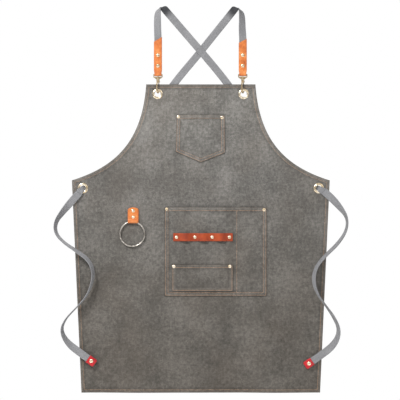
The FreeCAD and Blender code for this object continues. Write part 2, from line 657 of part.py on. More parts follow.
def make_shoulder_strap(side):
    """From inside the leather tab, over the peg, across the back and out through the far eyelet."""
    x = HOOK_X[side]
    far = -SIDES[side]
    heights = (WEB_END_Z, FOLD_MEET_Z + WEB_PAST_FOLD, TAB_CUT_HIGH[side] - 4)
    stations = [(V(x, 0, z), lean(0), WEB_WIDTH) for z in heights]
    rise = len(stations)
    stations += strap_arch(side)
    drop = len(stations) - 1
    stations.append((V(0, CROSS_Y[side], CROSS_Z), -lean(far * DIAGONAL_LEAN), WEB_WIDTH))
    hole = V(far * WAIST_EYELET[0], 0, WAIST_EYELET[1])
    places = [V(far * px, BACK_Y, pz) for px, pz in BACK_ROUTE]
    ahead = places[1:] + [hole]
    behind = [V(0, BACK_Y, CROSS_Z)] + places[:-1]
    for place, before, after in zip(places, behind, ahead):
        stations.append((place, -lean(in_plane_lean(before, after)), WEB_WIDTH))
    tie = TIE_ROUTES["right" if side == "left" else "left"]
    arrive = V(hole.x - places[-1].x, 0, hole.z - places[-1].z).normalize()
    leave = V(tie[1][0] - tie[0][0], 0, tie[1][2] - tie[0][2]).normalize()
    lean_in = in_plane_lean(V(0, 0, 0), arrive)
    lean_out = in_plane_lean(V(0, 0, 0), leave)
    for distance, y, width in HOLE_APPROACH:
        stations.append((hole - arrive * distance + V(0, y, 0), -lean(lean_in), width))
    stations.append((hole, -lean((lean_in + lean_out) / 2), WEB_IN_HOLE))
    for distance, y, width in HOLE_EXIT:
        stations.append((hole + leave * distance + V(0, y, 0), -lean(lean_out), width))
    stations.append((V(*tie[0][:3]), -lean(lean_out), WEB_WIDTH))
    rings = sections(stations, WEB)
    front = drilled(band(rings[:rise + 1]), [(x, z) for z in TAB_RIVETS_Z])
    save("strap_front_" + side, front)
    save("strap_arch_" + side, band(rings[rise:drop + 1]))
    save("strap_back_" + side, band(rings[drop:]))
    report_volume("shoulder strap " + side, band(rings), stations, WEB)


def rounded_route(name, route):
    """Straight runs joined by tangent arcs, as (place, edge-on angle) samples."""
    points = [V(x, y, z) for x, y, z, edge in route]
    edges = [edge for x, y, z, edge in route]
    samples = [(points[0], edges[0])]
    radii = []
    for i in range(1, len(points) - 1):
        back = points[i - 1] - points[i]
        ahead = points[i + 1] - points[i]
        cut = RUN_SHARE * min(back.Length, ahead.Length)
        turn = math.pi - back.getAngle(ahead)
        radius = cut / math.tan(turn / 2)
        radii.append(radius)
        start = points[i] + back.normalize() * cut
        end = points[i] + ahead.normalize() * cut
        towards = ((start + end) * 0.5 - points[i]).normalize()
        centre = points[i] + towards * (radius / math.cos(turn / 2))
        samples.append((start, edges[i]))
        samples.append((centre - towards * radius, edges[i]))
        samples.append((end, edges[i]))
    samples.append((points[-1], edges[-1]))
    print(f"waist_tie_{name} arc radii, mm: " + " ".join(f"{r:.0f}" for r in radii))
    return samples


def make_tie(side):
    route = TIE_ROUTES[side]
    samples = rounded_route(side, route)
    stations = []
    for i, (place, edge) in enumerate(samples):
        before = samples[max(i - 1, 0)][0]
        after = samples[min(i + 1, len(samples) - 1)][0]
        along = (after - before).normalize()
        if i >= len(samples) - 2:
            along = (samples[-1][0] - samples[-2][0]).normalize()
        flat = along.cross(Y_AXIS).normalize()
        turn = math.radians(edge)
        across = flat * math.cos(turn) + flat.cross(along).normalize() * math.sin(turn)
        stations.append((place, across.normalize(), WEB_WIDTH))
    tie = band(sections(stations, WEB))
    report_volume("waist_tie_" + side, tie, stations, WEB)
    end = samples[-1][0]
    along = (end - samples[-2][0]).normalize()
    across = along.cross(Y_AXIS).normalize()
    facing = across.cross(along).normalize()
    centre = end - along * TIP_RIVET_BACK
    hole = Part.makeCylinder(RIVET_HOLE_R, 20, centre - facing * 10, facing)
    save("waist_tie_" + side, tie.cut(hole))
    make_tip(side, end, along, across, facing)


def make_tip(side, end, along, across, facing):
    """Folded leather tip over the webbing's end, and its rivet, head to the front."""
    half = WEB / 2 + TIP_LAYER
    back = -TIP_SLOT
    front = TIP_LENGTH - TIP_SLOT
    block = Part.makeBox(2 * TIP_HALF, 2 * half, front - back, V(-TIP_HALF, -half, back))
    corners = [e for e in block.Edges if abs(e.tangentAt(e.FirstParameter).y) > 0.9 and e.CenterOfMass.z > 0]
    block = block.makeFillet(TIP_CORNER, corners)
    room = WEB / 2 + 0.05
    slot = Part.makeBox(2 * TIP_SLOT_HALF, 2 * room, TIP_SLOT + 1, V(-TIP_SLOT_HALF, -room, back - 1))
    hole = Part.makeCylinder(RIVET_HOLE_R, 20, V(0, -10, -TIP_RIVET_BACK), Y_AXIS)
    tip = block.cut(slot).cut(hole)
    stud = rivet(0, -TIP_RIVET_BACK, -half, half, TIP_RIVET_HEAD_R)
    place = FreeCAD.Matrix(-across.x, facing.x, along.x, end.x,
                           -across.y, facing.y, along.y, end.y,
                           -across.z, facing.z, along.z, end.z,
                           0, 0, 0, 1)
    placement = FreeCAD.Placement(place)
    for name, shape in (("tie_tip_", tip), ("tie_tip_rivet_", stud)):
        shape.Placement = placement.multiply(shape.Placement)
        save(name + side, shape)


# ---- write every node ------------------------------------------------------------------

os.makedirs("parts", exist_ok=True)
save("apron_panel", make_panel())
make_pockets()
make_tool_strap()
make_towel_tab()
make_towel_ring()
make_eyelets()
for this_side in SIDES:
    make_hook_tab(this_side)
    make_hook_eye(this_side)
    make_hook(this_side)
    make_shoulder_strap(this_side)
    make_tie(this_side)
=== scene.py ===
import math

import bmesh
import bpy
import numpy as np
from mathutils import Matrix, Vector, noise
from mathutils.geometry import delaunay_2d_cdt


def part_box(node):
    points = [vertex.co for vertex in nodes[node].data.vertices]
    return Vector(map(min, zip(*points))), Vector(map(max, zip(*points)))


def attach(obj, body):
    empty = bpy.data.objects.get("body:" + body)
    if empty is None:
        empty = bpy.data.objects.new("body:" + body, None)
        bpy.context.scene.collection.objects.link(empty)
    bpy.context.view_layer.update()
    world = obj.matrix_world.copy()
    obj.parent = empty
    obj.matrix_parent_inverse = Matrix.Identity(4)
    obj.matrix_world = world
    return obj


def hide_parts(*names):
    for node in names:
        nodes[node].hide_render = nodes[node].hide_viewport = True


# Washed canvas work apron hanging by its crossed webbing straps.
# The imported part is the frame; this script adds cloth, leather, webbing, thread and finishes.
# Metres, +X right, +Y away from the viewer, +Z up, origin midway between the strap arches.

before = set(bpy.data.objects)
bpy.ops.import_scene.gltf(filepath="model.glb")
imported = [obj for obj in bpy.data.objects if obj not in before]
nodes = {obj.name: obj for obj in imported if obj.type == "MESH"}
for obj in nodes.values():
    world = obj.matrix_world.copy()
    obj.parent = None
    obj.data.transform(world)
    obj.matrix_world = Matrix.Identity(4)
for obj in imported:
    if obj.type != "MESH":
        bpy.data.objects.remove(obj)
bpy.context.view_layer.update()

MM = 0.001
SIDES = {"left": -1, "right": 1}
CLOTH = 1.2 * MM
HALF_CLOTH = CLOTH / 2

# Panel outline, as in the part.
BIB_HALF = 0.149
BIB_TOP = -0.203
ARMHOLE_HANDLES = [(0.160, -0.351), (0.224, -0.4255)]
WAIST_HALF = 0.352
WAIST_Z = -0.465
HEM_HALF = 0.326
HEM_Z = -1.045

# Pocket outlines, as in the part: the mouth's two corners first.
CHEST = [(0.066, -0.286), (-0.066, -0.286), (-0.069, -0.3875), (0.0, -0.4165), (0.0665, -0.3905)]
TOOL_LEFT, TOOL_RIGHT, TOOL_BOTTOM, TOOL_TOP = -0.099, 0.180, -0.781, -0.538
CARD_LEFT, CARD_RIGHT, CARD_BOTTOM, CARD_TOP = -0.079, 0.088, -0.768, -0.6945
TOOL = [(TOOL_RIGHT, TOOL_TOP), (TOOL_LEFT, TOOL_TOP), (TOOL_LEFT, TOOL_BOTTOM), (TOOL_RIGHT, TOOL_BOTTOM)]
CARD = [(CARD_RIGHT, CARD_TOP), (CARD_LEFT, CARD_TOP), (CARD_LEFT, CARD_BOTTOM), (CARD_RIGHT, CARD_BOTTOM)]
DIVIDER_X = 0.098
CHEST_HALF, CHEST_TOP, CHEST_POINT_Z = 0.066, -0.286, -0.4165


# ---- small helpers ----

def smooth(t):
    t = np.clip(t, 0.0, 1.0)
    return t * t * (3 - 2 * t)


def rgb(red, green, blue):
    """A display colour, 0 to 255, as the linear colour that a shader takes."""
    linear = []
    for value in (red, green, blue):
        value /= 255
        linear.append(value / 12.92 if value <= 0.04045 else ((value + 0.055) / 1.055) ** 2.4)
    return (*linear, 1.0)


def centre(node):
    low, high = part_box(node)
    return (low + high) / 2


def make_object(name, vertices, faces, attributes=None):
    mesh = bpy.data.meshes.new(name)
    mesh.from_pydata([tuple(map(float, v)) for v in vertices], [], [tuple(map(int, f)) for f in faces])
    mesh.validate()
    mesh.shade_smooth()
    for key, values in (attributes or {}).items():
        layer = mesh.attributes.new(key, "FLOAT", "POINT")
        layer.data.foreach_set("value", np.asarray(values, np.float32))
    piece = bpy.data.objects.new(name, mesh)
    bpy.context.scene.collection.objects.link(piece)
    return piece


def inset(points, distance):
    """Move every side of a counter-clockwise (x, z) polygon inwards by distance."""
    moved = []
    count = len(points)
    for i in range(count):
        (ax, az), (bx, bz), (cx, cz) = points[i - 1], points[i], points[(i + 1) % count]
        before = math.hypot(bx - ax, bz - az)
        after = math.hypot(cx - bx, cz - bz)
        ux, uz = (bx - ax) / before, (bz - az) / before
        wx, wz = (cx - bx) / after, (cz - bz) / after
        scale = distance / (1 + ux * wx + uz * wz)
        moved.append((bx - (uz + wz) * scale, bz + (ux + wx) * scale))
    return moved


def along_line(a, b, count):
    return [(a[0] + (b[0] - a[0]) * i / count, a[1] + (b[1] - a[1]) * i / count) for i in range(count)]


def along_bezier(p, count):
    points = []
    for i in range(count):
        t = i / count
        s = 1 - t
        w = (s ** 3, 3 * s * s * t, 3 * s * t * t, t ** 3)
        points.append((sum(k * q[0] for k, q in zip(w, p)), sum(k * q[1] for k, q in zip(w, p))))
    return points


def panel_poles(margin):
    left = [(-BIB_HALF, BIB_TOP)] + [(-x, z) for x, z in ARMHOLE_HANDLES]
    left += [(-WAIST_HALF, WAIST_Z), (-HEM_HALF, HEM_Z)]
    return inset(left + [(-x, z) for x, z in reversed(left)], margin)


def panel_loop(margin):
    p = panel_poles(margin)
    loop = along_bezier(p[0:4], 74) + along_line(p[3], p[4], 116) + along_line(p[4], p[5], 130)
    return loop + along_line(p[5], p[6], 116) + along_bezier(p[6:10], 74) + along_line(p[9], p[0], 60)


def polygon_loop(corners, step):
    """A loop maker for a straight-sided piece: the same number of points at every margin."""
    counts = []
    for a, b in zip(corners, corners[1:] + corners[:1]):
        counts.append(max(2, round(math.dist(a, b) / step)))

    def loop(margin):
        p = inset(corners, margin)
        points = []
        for i, count in enumerate(counts):
            points += along_line(p[i], p[(i + 1) % len(p)], count)
        return points
    return loop


def inside(x, z, polygon):
    hit = np.zeros(len(x), bool)
    for (ax, az), (bx, bz) in zip(polygon, polygon[1:] + polygon[:1]):
        crosses = (az > z) != (bz > z)
        if az != bz:
            hit ^= crosses & (x < (bx - ax) * (z - az) / (bz - az) + ax)
    return hit


def edge_distance(x, z, loop):
    """Distance of each point from the nearest point of a finely divided loop."""
    line = np.array(loop)
    best = np.full(len(x), 9.0)
    for px, pz in line:
        best = np.minimum(best, np.hypot(x - px, z - pz))
    return best


def hole_ring(x, z, radius, count=40):
    return [(x + radius * math.cos(2 * math.pi * i / count), z + radius * math.sin(2 * math.pi * i / count))
            for i in range(count)]


def inner_grid(inner, pitch, holes):
    """Staggered points inside a loop and clear of the holes, with their distance from the loop."""
    low_x, high_x = min(p[0] for p in inner), max(p[0] for p in inner)
    low_z, high_z = min(p[1] for p in inner), max(p[1] for p in inner)
    grid = []
    row_step = pitch * math.sqrt(3) / 2
    for r in range(int((high_z - low_z) / row_step) + 1):
        shift = pitch / 2 * (r % 2)
        for c in range(int((high_x - low_x) / pitch) + 1):
            grid.append((low_x + shift + c * pitch, low_z + (r + 0.5) * row_step))
    x, z = np.array([p[0] for p in grid]), np.array([p[1] for p in grid])
    gap = edge_distance(x, z, inner)
    keep = inside(x, z, inner) & (gap > 0.45 * pitch)
    for hole_x, hole_z, radius in holes:
        keep &= np.hypot(x - hole_x, z - hole_z) > radius + 0.4 * pitch
    return x[keep], z[keep], gap[keep]


def fill_inside(inner, rings, grid, holes):
    """Triangles between a loop, its hole rings and the grid, numbered in the order that they are given."""
    flat = []
    edges = []
    for loop in [inner] + rings:
        start = len(flat)
        flat += [Vector(p) for p in loop]
        edges += [(start + i, start + (i + 1) % len(loop)) for i in range(len(loop))]
    flat += [Vector(p) for p in grid]
    points, _, triangles, origin, _, _ = delaunay_2d_cdt(flat, edges, [], 1, 1e-7)
    kept = []
    for tri in triangles:
        mx = sum(points[i].x for i in tri) / 3
        mz = sum(points[i].y for i in tri) / 3
        if not any(math.hypot(mx - hole_x, mz - hole_z) < radius * 0.99 for hole_x, hole_z, radius in holes):
            kept.append(tuple(origin[i][0] for i in tri))
    return flat, kept


def cloth_piece(name, loop_at, margins, pitch, front, back, holes=()):
    """Closed cloth with bands of quads along its edge, triangles inside, and a rim.

    front and back give y from x, z and the distance from the edge.
    """
    loops = [loop_at(m) for m in margins]
    size = len(loops[0])
    inner = loops[-1]
    faces = []
    for k in range(len(loops) - 1):
        for i in range(size):
            j = (i + 1) % size
            faces.append((k * size + i, k * size + j, (k + 1) * size + j, (k + 1) * size + i))
    first_inner = (len(loops) - 1) * size
    rings = [hole_ring(*hole) for hole in holes]
    grid_x, grid_z, grid_gap = inner_grid(inner, pitch, holes)
    flat, triangles = fill_inside(inner, rings, zip(grid_x, grid_z), holes)
    faces += [tuple(first_inner + i for i in tri) for tri in triangles]
    x = np.array([p[0] for loop in loops for p in loop] + [p.x for p in flat[size:]])
    z = np.array([p[1] for loop in loops for p in loop] + [p.y for p in flat[size:]])
    distance = [m for m in margins for _ in range(size)]
    for ring in rings:
        ring_line = np.array(ring)
        distance += list(edge_distance(ring_line[:, 0], ring_line[:, 1], inner) + margins[-1])
    distance += list(grid_gap + margins[-1])
    d = np.array(distance)
    total = len(x)
    skins = np.concatenate([np.stack([x, front(x, z, d), z], 1), np.stack([x, back(x, z, d), z], 1)])
    solid = [tuple(f) for f in faces] + [tuple(total + i for i in reversed(f)) for f in faces]
    rims = [list(range(size))]
    start = first_inner + size
    for ring in rings:
        rims.append([start + i for i in range(len(ring))][::-1])
        start += len(ring)
    for rim in rims:
        for a, b in zip(rim, rim[1:] + rim[:1]):
            solid.append((b, a, total + a, total + b))
    piece = make_object(name, skins, solid, {"edge": np.concatenate([d, d])})
    tidy_normals(piece)
    return piece


def tidy_normals(piece):
    """Turn every face of a closed piece outwards."""
    work = bmesh.new()
    work.from_mesh(piece.data)
    bmesh.ops.recalc_face_normals(work, faces=work.faces)
    work.to_mesh(piece.data)
    work.free()


# ---- how the canvas hangs ----

EYELETS = ["top_left", "top_right", "waist_left", "waist_right"]
EYELET_AT = {name: centre("eyelet_" + name) for name in EYELETS}
RING_AT = centre("towel_tab")
HOLE_R = 0.010
HEM_TABLE = [(0.0, 1.0), (0.8, 0.35), (2.2, -0.25), (4.5, -0.45), (7.0, -0.2), (8.0, 0.15), (9.0, -0.15),
             (10.5, -0.1), (12.0, 0.4), (13.0, 0.1), (18.0, 0.0)]
PANEL_MARGINS = [0, 0.8, 2.2, 4.5, 7.0, 8.0, 9.0, 10.5, 12.0, 13.0]


def table(d, rows):
    return np.interp(d, [r[0] * MM for r in rows], [r[1] * MM for r in rows])


def quiet(x, z):
    """0 at the hardware and pockets, 1 in the free cloth."""
    calm = np.ones_like(x)
    for place in list(EYELET_AT.values()):
        calm *= 1 - np.exp(-((x - place.x) ** 2 + (z - place.z) ** 2) / 0.05 ** 2)
    calm *= 1 - np.exp(-((x - RING_AT.x) ** 2 + (z - RING_AT.z + 0.02) ** 2) / 0.06 ** 2)
    for x0, x1, z0, z1 in ((TOOL_LEFT, TOOL_RIGHT, TOOL_BOTTOM, TOOL_TOP),
                           (-CHEST_HALF, CHEST_HALF, CHEST_POINT_Z - 0.5 * MM, CHEST_TOP)):
        away = np.hypot(np.maximum(np.maximum(x0 - x, x - x1), 0), np.maximum(np.maximum(z0 - z, z - z1), 0))
        calm *= smooth(away / 0.07)
    return calm


def hang(x, z):
    """Middle of the canvas: loose waves towards the hem, faint rumples everywhere."""
    drop = smooth((-0.50 - z) / 0.50)
    wave = 1.9 * np.sin(2 * np.pi * x / 0.335 + 0.7) + 1.1 * np.sin(2 * np.pi * (x + 0.12 * z) / 0.19 + 2.1)
    wave += 0.6 * np.sin(2 * np.pi * (z - 0.25 * x) / 0.31)
    y = MM * drop * (wave + 1.6)
    broad = np.array([noise.noise(Vector((a * 17, 3.1, b * 11))) for a, b in zip(x, z)])
    small = np.array([noise.noise(Vector((a * 43, 8.7, b * 35))) for a, b in zip(x, z)])
    rumple = broad + 0.45 * small
    y += MM * rumple * (0.55 + 0.35 * drop)
    return y * quiet(x, z)


def fine(x, z, scale, seed):
    return np.array([noise.noise(Vector((a * scale, seed, b * scale))) for a, b in zip(x, z)])


def eyelet_press(x, z):
    press = np.ones_like(x)
    for place in EYELET_AT.values():
        press *= smooth((np.hypot(x - place.x, z - place.z) - 0.013) / 0.006)
    return press


def panel_front(x, z, d):
    pucker = 1 + 0.5 * fine(x, z, 90, 5.0)
    relief = table(d, HEM_TABLE) * pucker
    inner = np.where(d > 0.0008, eyelet_press(x, z), 1.0)
    return hang(x, z) - HALF_CLOTH + relief * inner


def panel_back(x, z, d):
    folded = CLOTH * (1 - smooth((d - 0.0100) / 0.0014)) * (0.4 + 0.6 * smooth(d / 0.0012))
    return hang(x, z) + HALF_CLOTH + folded


panel = cloth_piece("apron_canvas", panel_loop, [m * MM for m in PANEL_MARGINS], 0.0062,
                    panel_front, panel_back,
                    [(p.x, p.z, HOLE_R) for p in EYELET_AT.values()])
outline = panel_loop(0)


# ---- patch pockets ----

TOOL_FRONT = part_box("tool_pocket")[0].y
CHEST_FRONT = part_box("chest_pocket")[0].y
CARD_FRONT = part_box("card_pocket")[0].y
POCKET_MARGINS = [0, 0.5, 1.4, 2.6, 4.0, 6.5, 8.6, 9.6, 10.6, 12.0]
POCKET_TABLE = [(0.0, -0.35), (0.5, -0.95), (1.4, -1.15), (2.6, -0.80), (4.0, -1.10),
                (6.5, -1.10), (8.6, -0.75), (9.6, -0.45), (10.6, -0.15), (12.0, 0.0)]
CARD_TABLE = [(0.0, -0.35), (0.5, -0.9), (1.4, -1.05), (3.0, -0.65), (4.5, -0.45), (7.0, 0.0)]
RIVET_NODES = ["chest_pocket_rivets", "tool_pocket_rivets", "card_pocket_rivets"]
CARD_MARGINS = [0, 0.5, 1.4, 3.0, 4.5, 7.0]
LIFT = 0.05 * MM
RIVET_R = 4.6 * MM
STRAP_RIVET_Z = -0.620
CARD_RIVET_Z = -0.6995


def resting(x, z):
    return hang(x, z) - HALF_CLOTH


def rivet_press(x, z):
    """0 under the rivet heads, which clamp the cloth flat, and 1 away from them."""
    press = np.ones_like(x)
    for name in RIVET_NODES:
        low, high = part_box(name)
        for rx in (low.x + RIVET_R, high.x - RIVET_R):
            press *= smooth((np.hypot(x - rx, z - (low.z + high.z) / 2) - RIVET_R) / 0.004)
    return press


def pocket_relief(x, z, d, rows, seed):
    return table(d, rows) * (1 + 0.25 * fine(x, z, 110, seed)) * rivet_press(x, z)


def chest_bulge(x, z):
    depth = -CHEST_FRONT - HALF_CLOTH - CLOTH
    across = smooth((CHEST_HALF - 0.009 - np.abs(x)) / 0.038)
    floor_z = CHEST_POINT_Z + np.abs(x) * 0.41
    up = smooth((z - floor_z - 0.010) / 0.085)
    return 0.8 * depth * across * up


def tool_bulge(x, z):
    depth = -TOOL_FRONT - HALF_CLOTH - CLOTH
    left = smooth((x - TOOL_LEFT - 0.006) / 0.019)
    at_strap = np.exp(-((z - STRAP_RIVET_Z) / 0.022) ** 2)
    at_card = np.exp(-((z - CARD_RIVET_Z) / 0.022) ** 2)
    at_rivets = np.maximum(at_strap, at_card)
    right = smooth((DIVIDER_X - 0.002 - x) / (0.030 - 0.019 * at_rivets))
    wide = depth * left * right * smooth((z - TOOL_BOTTOM - 0.008) / 0.060)
    narrow = smooth((x - DIVIDER_X - 0.002) / 0.030) * smooth((TOOL_RIGHT - 0.009 - x) / 0.032)
    return wide + 0.5 * depth * narrow * smooth((z - TOOL_BOTTOM - 0.010) / 0.16)


def card_bulge(x, z):
    depth = TOOL_FRONT - CARD_FRONT - CLOTH
    across = smooth((x - CARD_LEFT - 0.010) / 0.045) * smooth((CARD_RIGHT - 0.010 - x) / 0.045)
    return 0.5 * depth * across * smooth((z - CARD_BOTTOM - 0.004) / 0.06)


def chest_front(x, z, d):
    return resting(x, z) - LIFT - CLOTH - chest_bulge(x, z) + pocket_relief(x, z, d, POCKET_TABLE, 1.0)


def chest_back(x, z, d):
    return resting(x, z) - LIFT - chest_bulge(x, z)


def divider_pull(x):
    return 0.35 * MM * np.exp(-((x - DIVIDER_X) / 0.0016) ** 2)


def tool_face(x, z):
    return resting(x, z) - LIFT - CLOTH - tool_bulge(x, z)


def tool_front(x, z, d):
    return tool_face(x, z) + divider_pull(x) + pocket_relief(x, z, d, POCKET_TABLE, 2.0)


def tool_back(x, z, d):
    return tool_face(x, z) + CLOTH


def card_front(x, z, d):
    return tool_face(x, z) - LIFT - CLOTH - card_bulge(x, z) + pocket_relief(x, z, d, CARD_TABLE, 3.0)


def card_back(x, z, d):
    return tool_face(x, z) - LIFT - card_bulge(x, z)


chest = cloth_piece("chest_patch_pocket", polygon_loop(CHEST, 0.003), [m * MM for m in POCKET_MARGINS],
                    0.0038, chest_front, chest_back)
tool = cloth_piece("tool_patch_pocket", polygon_loop(TOOL, 0.0035), [m * MM for m in POCKET_MARGINS],
                   0.0042, tool_front, tool_back)
card = cloth_piece("card_patch_pocket", polygon_loop(CARD, 0.003), [m * MM for m in CARD_MARGINS],
                   0.0036, card_front, card_back)


# ---- stitching ----

STITCH_PITCH = 4.0 * MM
STITCH_LENGTH = 3.3 * MM
THREAD_R = 0.36 * MM
THREAD_SIDES = 6


def resample(line, step):
    line = np.array(line)
    runs = np.hypot(*(line[1:] - line[:-1]).T)
    at = np.concatenate([[0], np.cumsum(runs)])
    count = max(1, int(round(at[-1] / step)))
    marks = np.linspace(0, at[-1], count + 1)
    return np.stack([np.interp(marks, at, line[:, 0]), np.interp(marks, at, line[:, 1])], 1)


def stitches(name, lines):
    """Raised thread stitches along (points, surface) lines; surface gives the cloth's front y."""
    vertices, faces = [], []
    half = STITCH_LENGTH / 2
    profile = [(-1.0, 0.15), (-0.82, 0.75), (-0.4, 1.0), (0.4, 1.0), (0.82, 0.75), (1.0, 0.15)]
    for line, surface, distance in lines:
        marks = resample(line, STITCH_PITCH)
        mids = (marks[1:] + marks[:-1]) / 2
        ways = marks[1:] - marks[:-1]
        ways /= np.hypot(ways[:, 0], ways[:, 1])[:, None]
        height = surface(mids[:, 0], mids[:, 1], np.full(len(mids), distance))
        for (x, z), (ux, uz), y in zip(mids, ways, height):
            first = len(vertices)
            for share, girth in profile:
                sink = 0.55 * (share ** 4) * THREAD_R
                for k in range(THREAD_SIDES):
                    turn = 2 * math.pi * k / THREAD_SIDES
                    side = THREAD_R * girth * math.cos(turn)
                    rise = THREAD_R * girth * math.sin(turn)
                    vertices.append((x + ux * half * share - uz * side, y - 0.45 * THREAD_R + sink - rise,
                                     z + uz * half * share + ux * side))
            for ring in range(len(profile) - 1):
                for k in range(THREAD_SIDES):
                    a = first + ring * THREAD_SIDES + k
                    b = first + ring * THREAD_SIDES + (k + 1) % THREAD_SIDES
                    faces.append((a, b, b + THREAD_SIDES, a + THREAD_SIDES))
            faces.append(tuple(first + k for k in reversed(range(THREAD_SIDES))))
            last = first + (len(profile) - 1) * THREAD_SIDES
            faces.append(tuple(last + k for k in range(THREAD_SIDES)))
    piece = make_object(name, vertices, faces)
    tidy_normals(piece)
    return piece


def mouth_row(corners, distance, trim):
    (x1, z), (x0, _) = corners[0], corners[1]
    return [(x0 + trim, z - distance), (x1 - trim, z - distance)]


def open_row(corners, distance):
    """Seam row down one side, along the bottom and up the other, ending at the mouth."""
    p = inset(corners, distance)
    top = corners[0][1] - 0.002
    return [(p[1][0], top)] + p[2:] + [(p[0][0], top)]


HEM_STITCH = 8.0 * MM
OUTER_ROW = 2.6 * MM
INNER_ROW = 9.6 * MM
CARD_ROW = 3.0 * MM
CARD_MOUTH_ROW = 8.0 * MM
hem_line = panel_loop(HEM_STITCH)
hem_thread = stitches("hem_stitching", [(hem_line + hem_line[:1], panel_front, HEM_STITCH)])
pocket_thread = stitches("pocket_stitching", [
    (open_row(CHEST, OUTER_ROW), chest_front, OUTER_ROW),
    (open_row(CHEST, INNER_ROW), chest_front, INNER_ROW),
    (mouth_row(CHEST, INNER_ROW, 10 * MM), chest_front, INNER_ROW),
    (open_row(TOOL, OUTER_ROW), tool_front, OUTER_ROW),
    (open_row(TOOL, INNER_ROW), tool_front, INNER_ROW),
    (mouth_row(TOOL, INNER_ROW, 10 * MM), tool_front, INNER_ROW),
    ([(DIVIDER_X, TOOL_TOP - 3 * MM), (DIVIDER_X, TOOL_BOTTOM + 2.5 * MM)], tool_front, 15 * MM),
    (open_row(CARD, CARD_ROW), card_front, CARD_ROW),
    (mouth_row(CARD, CARD_MOUTH_ROW, 4 * MM), card_front, CARD_MOUTH_ROW),
])


# ---- bands: webbing and leather ----

def band(name, centres, across, widths, thickness, rounding=0.35, columns=9, shear=None, painted_shade_at=None):
    """Flat strip through centres; across is its width direction.

    shear moves the finished points; the last argument gives a tone of painted shade from the distance along
    the strip.
    """
    centres = np.array(centres, float)
    across = np.array(across, float)
    across /= np.linalg.norm(across, axis=1)[:, None]
    along = np.gradient(centres, axis=0)
    along -= across * (along * across).sum(1)[:, None]
    along /= np.linalg.norm(along, axis=1)[:, None]
    up = np.cross(across, along)
    lengths = np.concatenate([[0], np.cumsum(np.linalg.norm(centres[1:] - centres[:-1], axis=1))])
    half = thickness / 2
    corner = rounding * thickness
    section = []
    spread = np.linspace(-1, 1, columns)
    for s in spread:
        section.append((s, 0.0, half))
    section.append((1.0, corner * 0.7, half * 0.45))
    section.append((1.0, corner * 0.7, -half * 0.45))
    for s in spread[::-1]:
        section.append((s, 0.0, -half))
    section.append((-1.0, -corner * 0.7, -half * 0.45))
    section.append((-1.0, -corner * 0.7, half * 0.45))
    size = len(section)
    vertices, run, side, faces = [], [], [], []
    for c, w, u, width, length in zip(centres, across, up, widths, lengths):
        for s, extra, rise in section:
            reach = s * (width / 2 - corner * 0.7) + extra
            vertices.append(c + w * reach + u * rise)
            run.append(length)
            side.append(reach)
    rows = len(centres)
    for r in range(rows - 1):
        for k in range(size):
            j = (k + 1) % size
            faces.append((r * size + k, r * size + j, (r + 1) * size + j, (r + 1) * size + k))
    faces.append(tuple(reversed(range(size))))
    faces.append(tuple((rows - 1) * size + k for k in range(size)))
    vertices = np.array(vertices)
    if shear is not None:
        vertices = shear(vertices)
    # Painted shade tone along the strip, zero when none is given.
    painted_shade = np.zeros(len(run)) if painted_shade_at is None else painted_shade_at(np.array(run))
    piece = make_object(name, vertices, faces, {"run": run, "side": side, "painted_shade": painted_shade})
    tidy_normals(piece)
    return piece


def lean(angle):
    return np.array([math.cos(math.radians(angle)), 0.0, math.sin(math.radians(angle))])


def nurbs(points, resolution=12):
    """Points read from a NURBS spline of order 3 with these control points."""
    curve = bpy.data.curves.new("route", "CURVE")
    curve.dimensions = "3D"
    curve.resolution_u = resolution
    spline = curve.splines.new("NURBS")
    spline.points.add(len(points) - 1)
    for point, place in zip(spline.points, points):
        point.co = (*place, 1.0)
    spline.order_u = 3
    spline.use_endpoint_u = True
    holder = bpy.data.objects.new("route", curve)
    mesh = bpy.data.meshes.new_from_object(holder)
    line = np.array([v.co[:] for v in mesh.vertices])
    bpy.data.objects.remove(holder)
    bpy.data.curves.remove(curve)
    bpy.data.meshes.remove(mesh)
    return line


WEB_WIDTH = 0.020
WEB = 0.0016
DIAGONAL_LEAN = 40.7
# As in the part: outward distance, height, slant and turn of each station over the peg.
ARCH_ROUTE = {
    "left": [
        (0.1180, -0.048, 0, 12), (0.1182, -0.024, 0, 20), (0.1174, -0.009, 0, 34), (0.1156, -0.0005, 5, 52),
        (0.1132, 0.0043, 15, 72), (0.1106, 0.0067, 26, 92), (0.1072, 0.0070, 36, 120),
        (0.1036, 0.0060, 40, 146), (0.0999, 0.0034, 40.7, 166), (0.0959, -0.0012, 40.7, 178),
    ],
    "right": [
        (0.1130, -0.048, 0, 20), (0.1127, -0.024, 0, 32), (0.1115, -0.011, 0, 42), (0.1093, -0.003, 5, 56),
        (0.1062, 0.0020, 15, 74), (0.1032, 0.0042, 26, 94), (0.0998, 0.0056, 36, 122),
        (0.0964, 0.0050, 40, 148), (0.0929, 0.0024, 40.7, 167), (0.0890, -0.0022, 40.7, 178),
    ],
}
HOOK_X = {side: centre("hook_tab_" + side).x for side in SIDES}
BACK_ROUTE = [(0.0745, -0.2035), (0.122, -0.272), (0.160, -0.342), (0.197, -0.405), (0.237, -0.450),
              (0.283, -0.477)]
CROSS_Y = {"left": 0.0050, "right": 0.0074}
CROSS_Z = -0.112
BACK_Y = 0.004
WAIST_EYELET = (0.322, -0.4865)
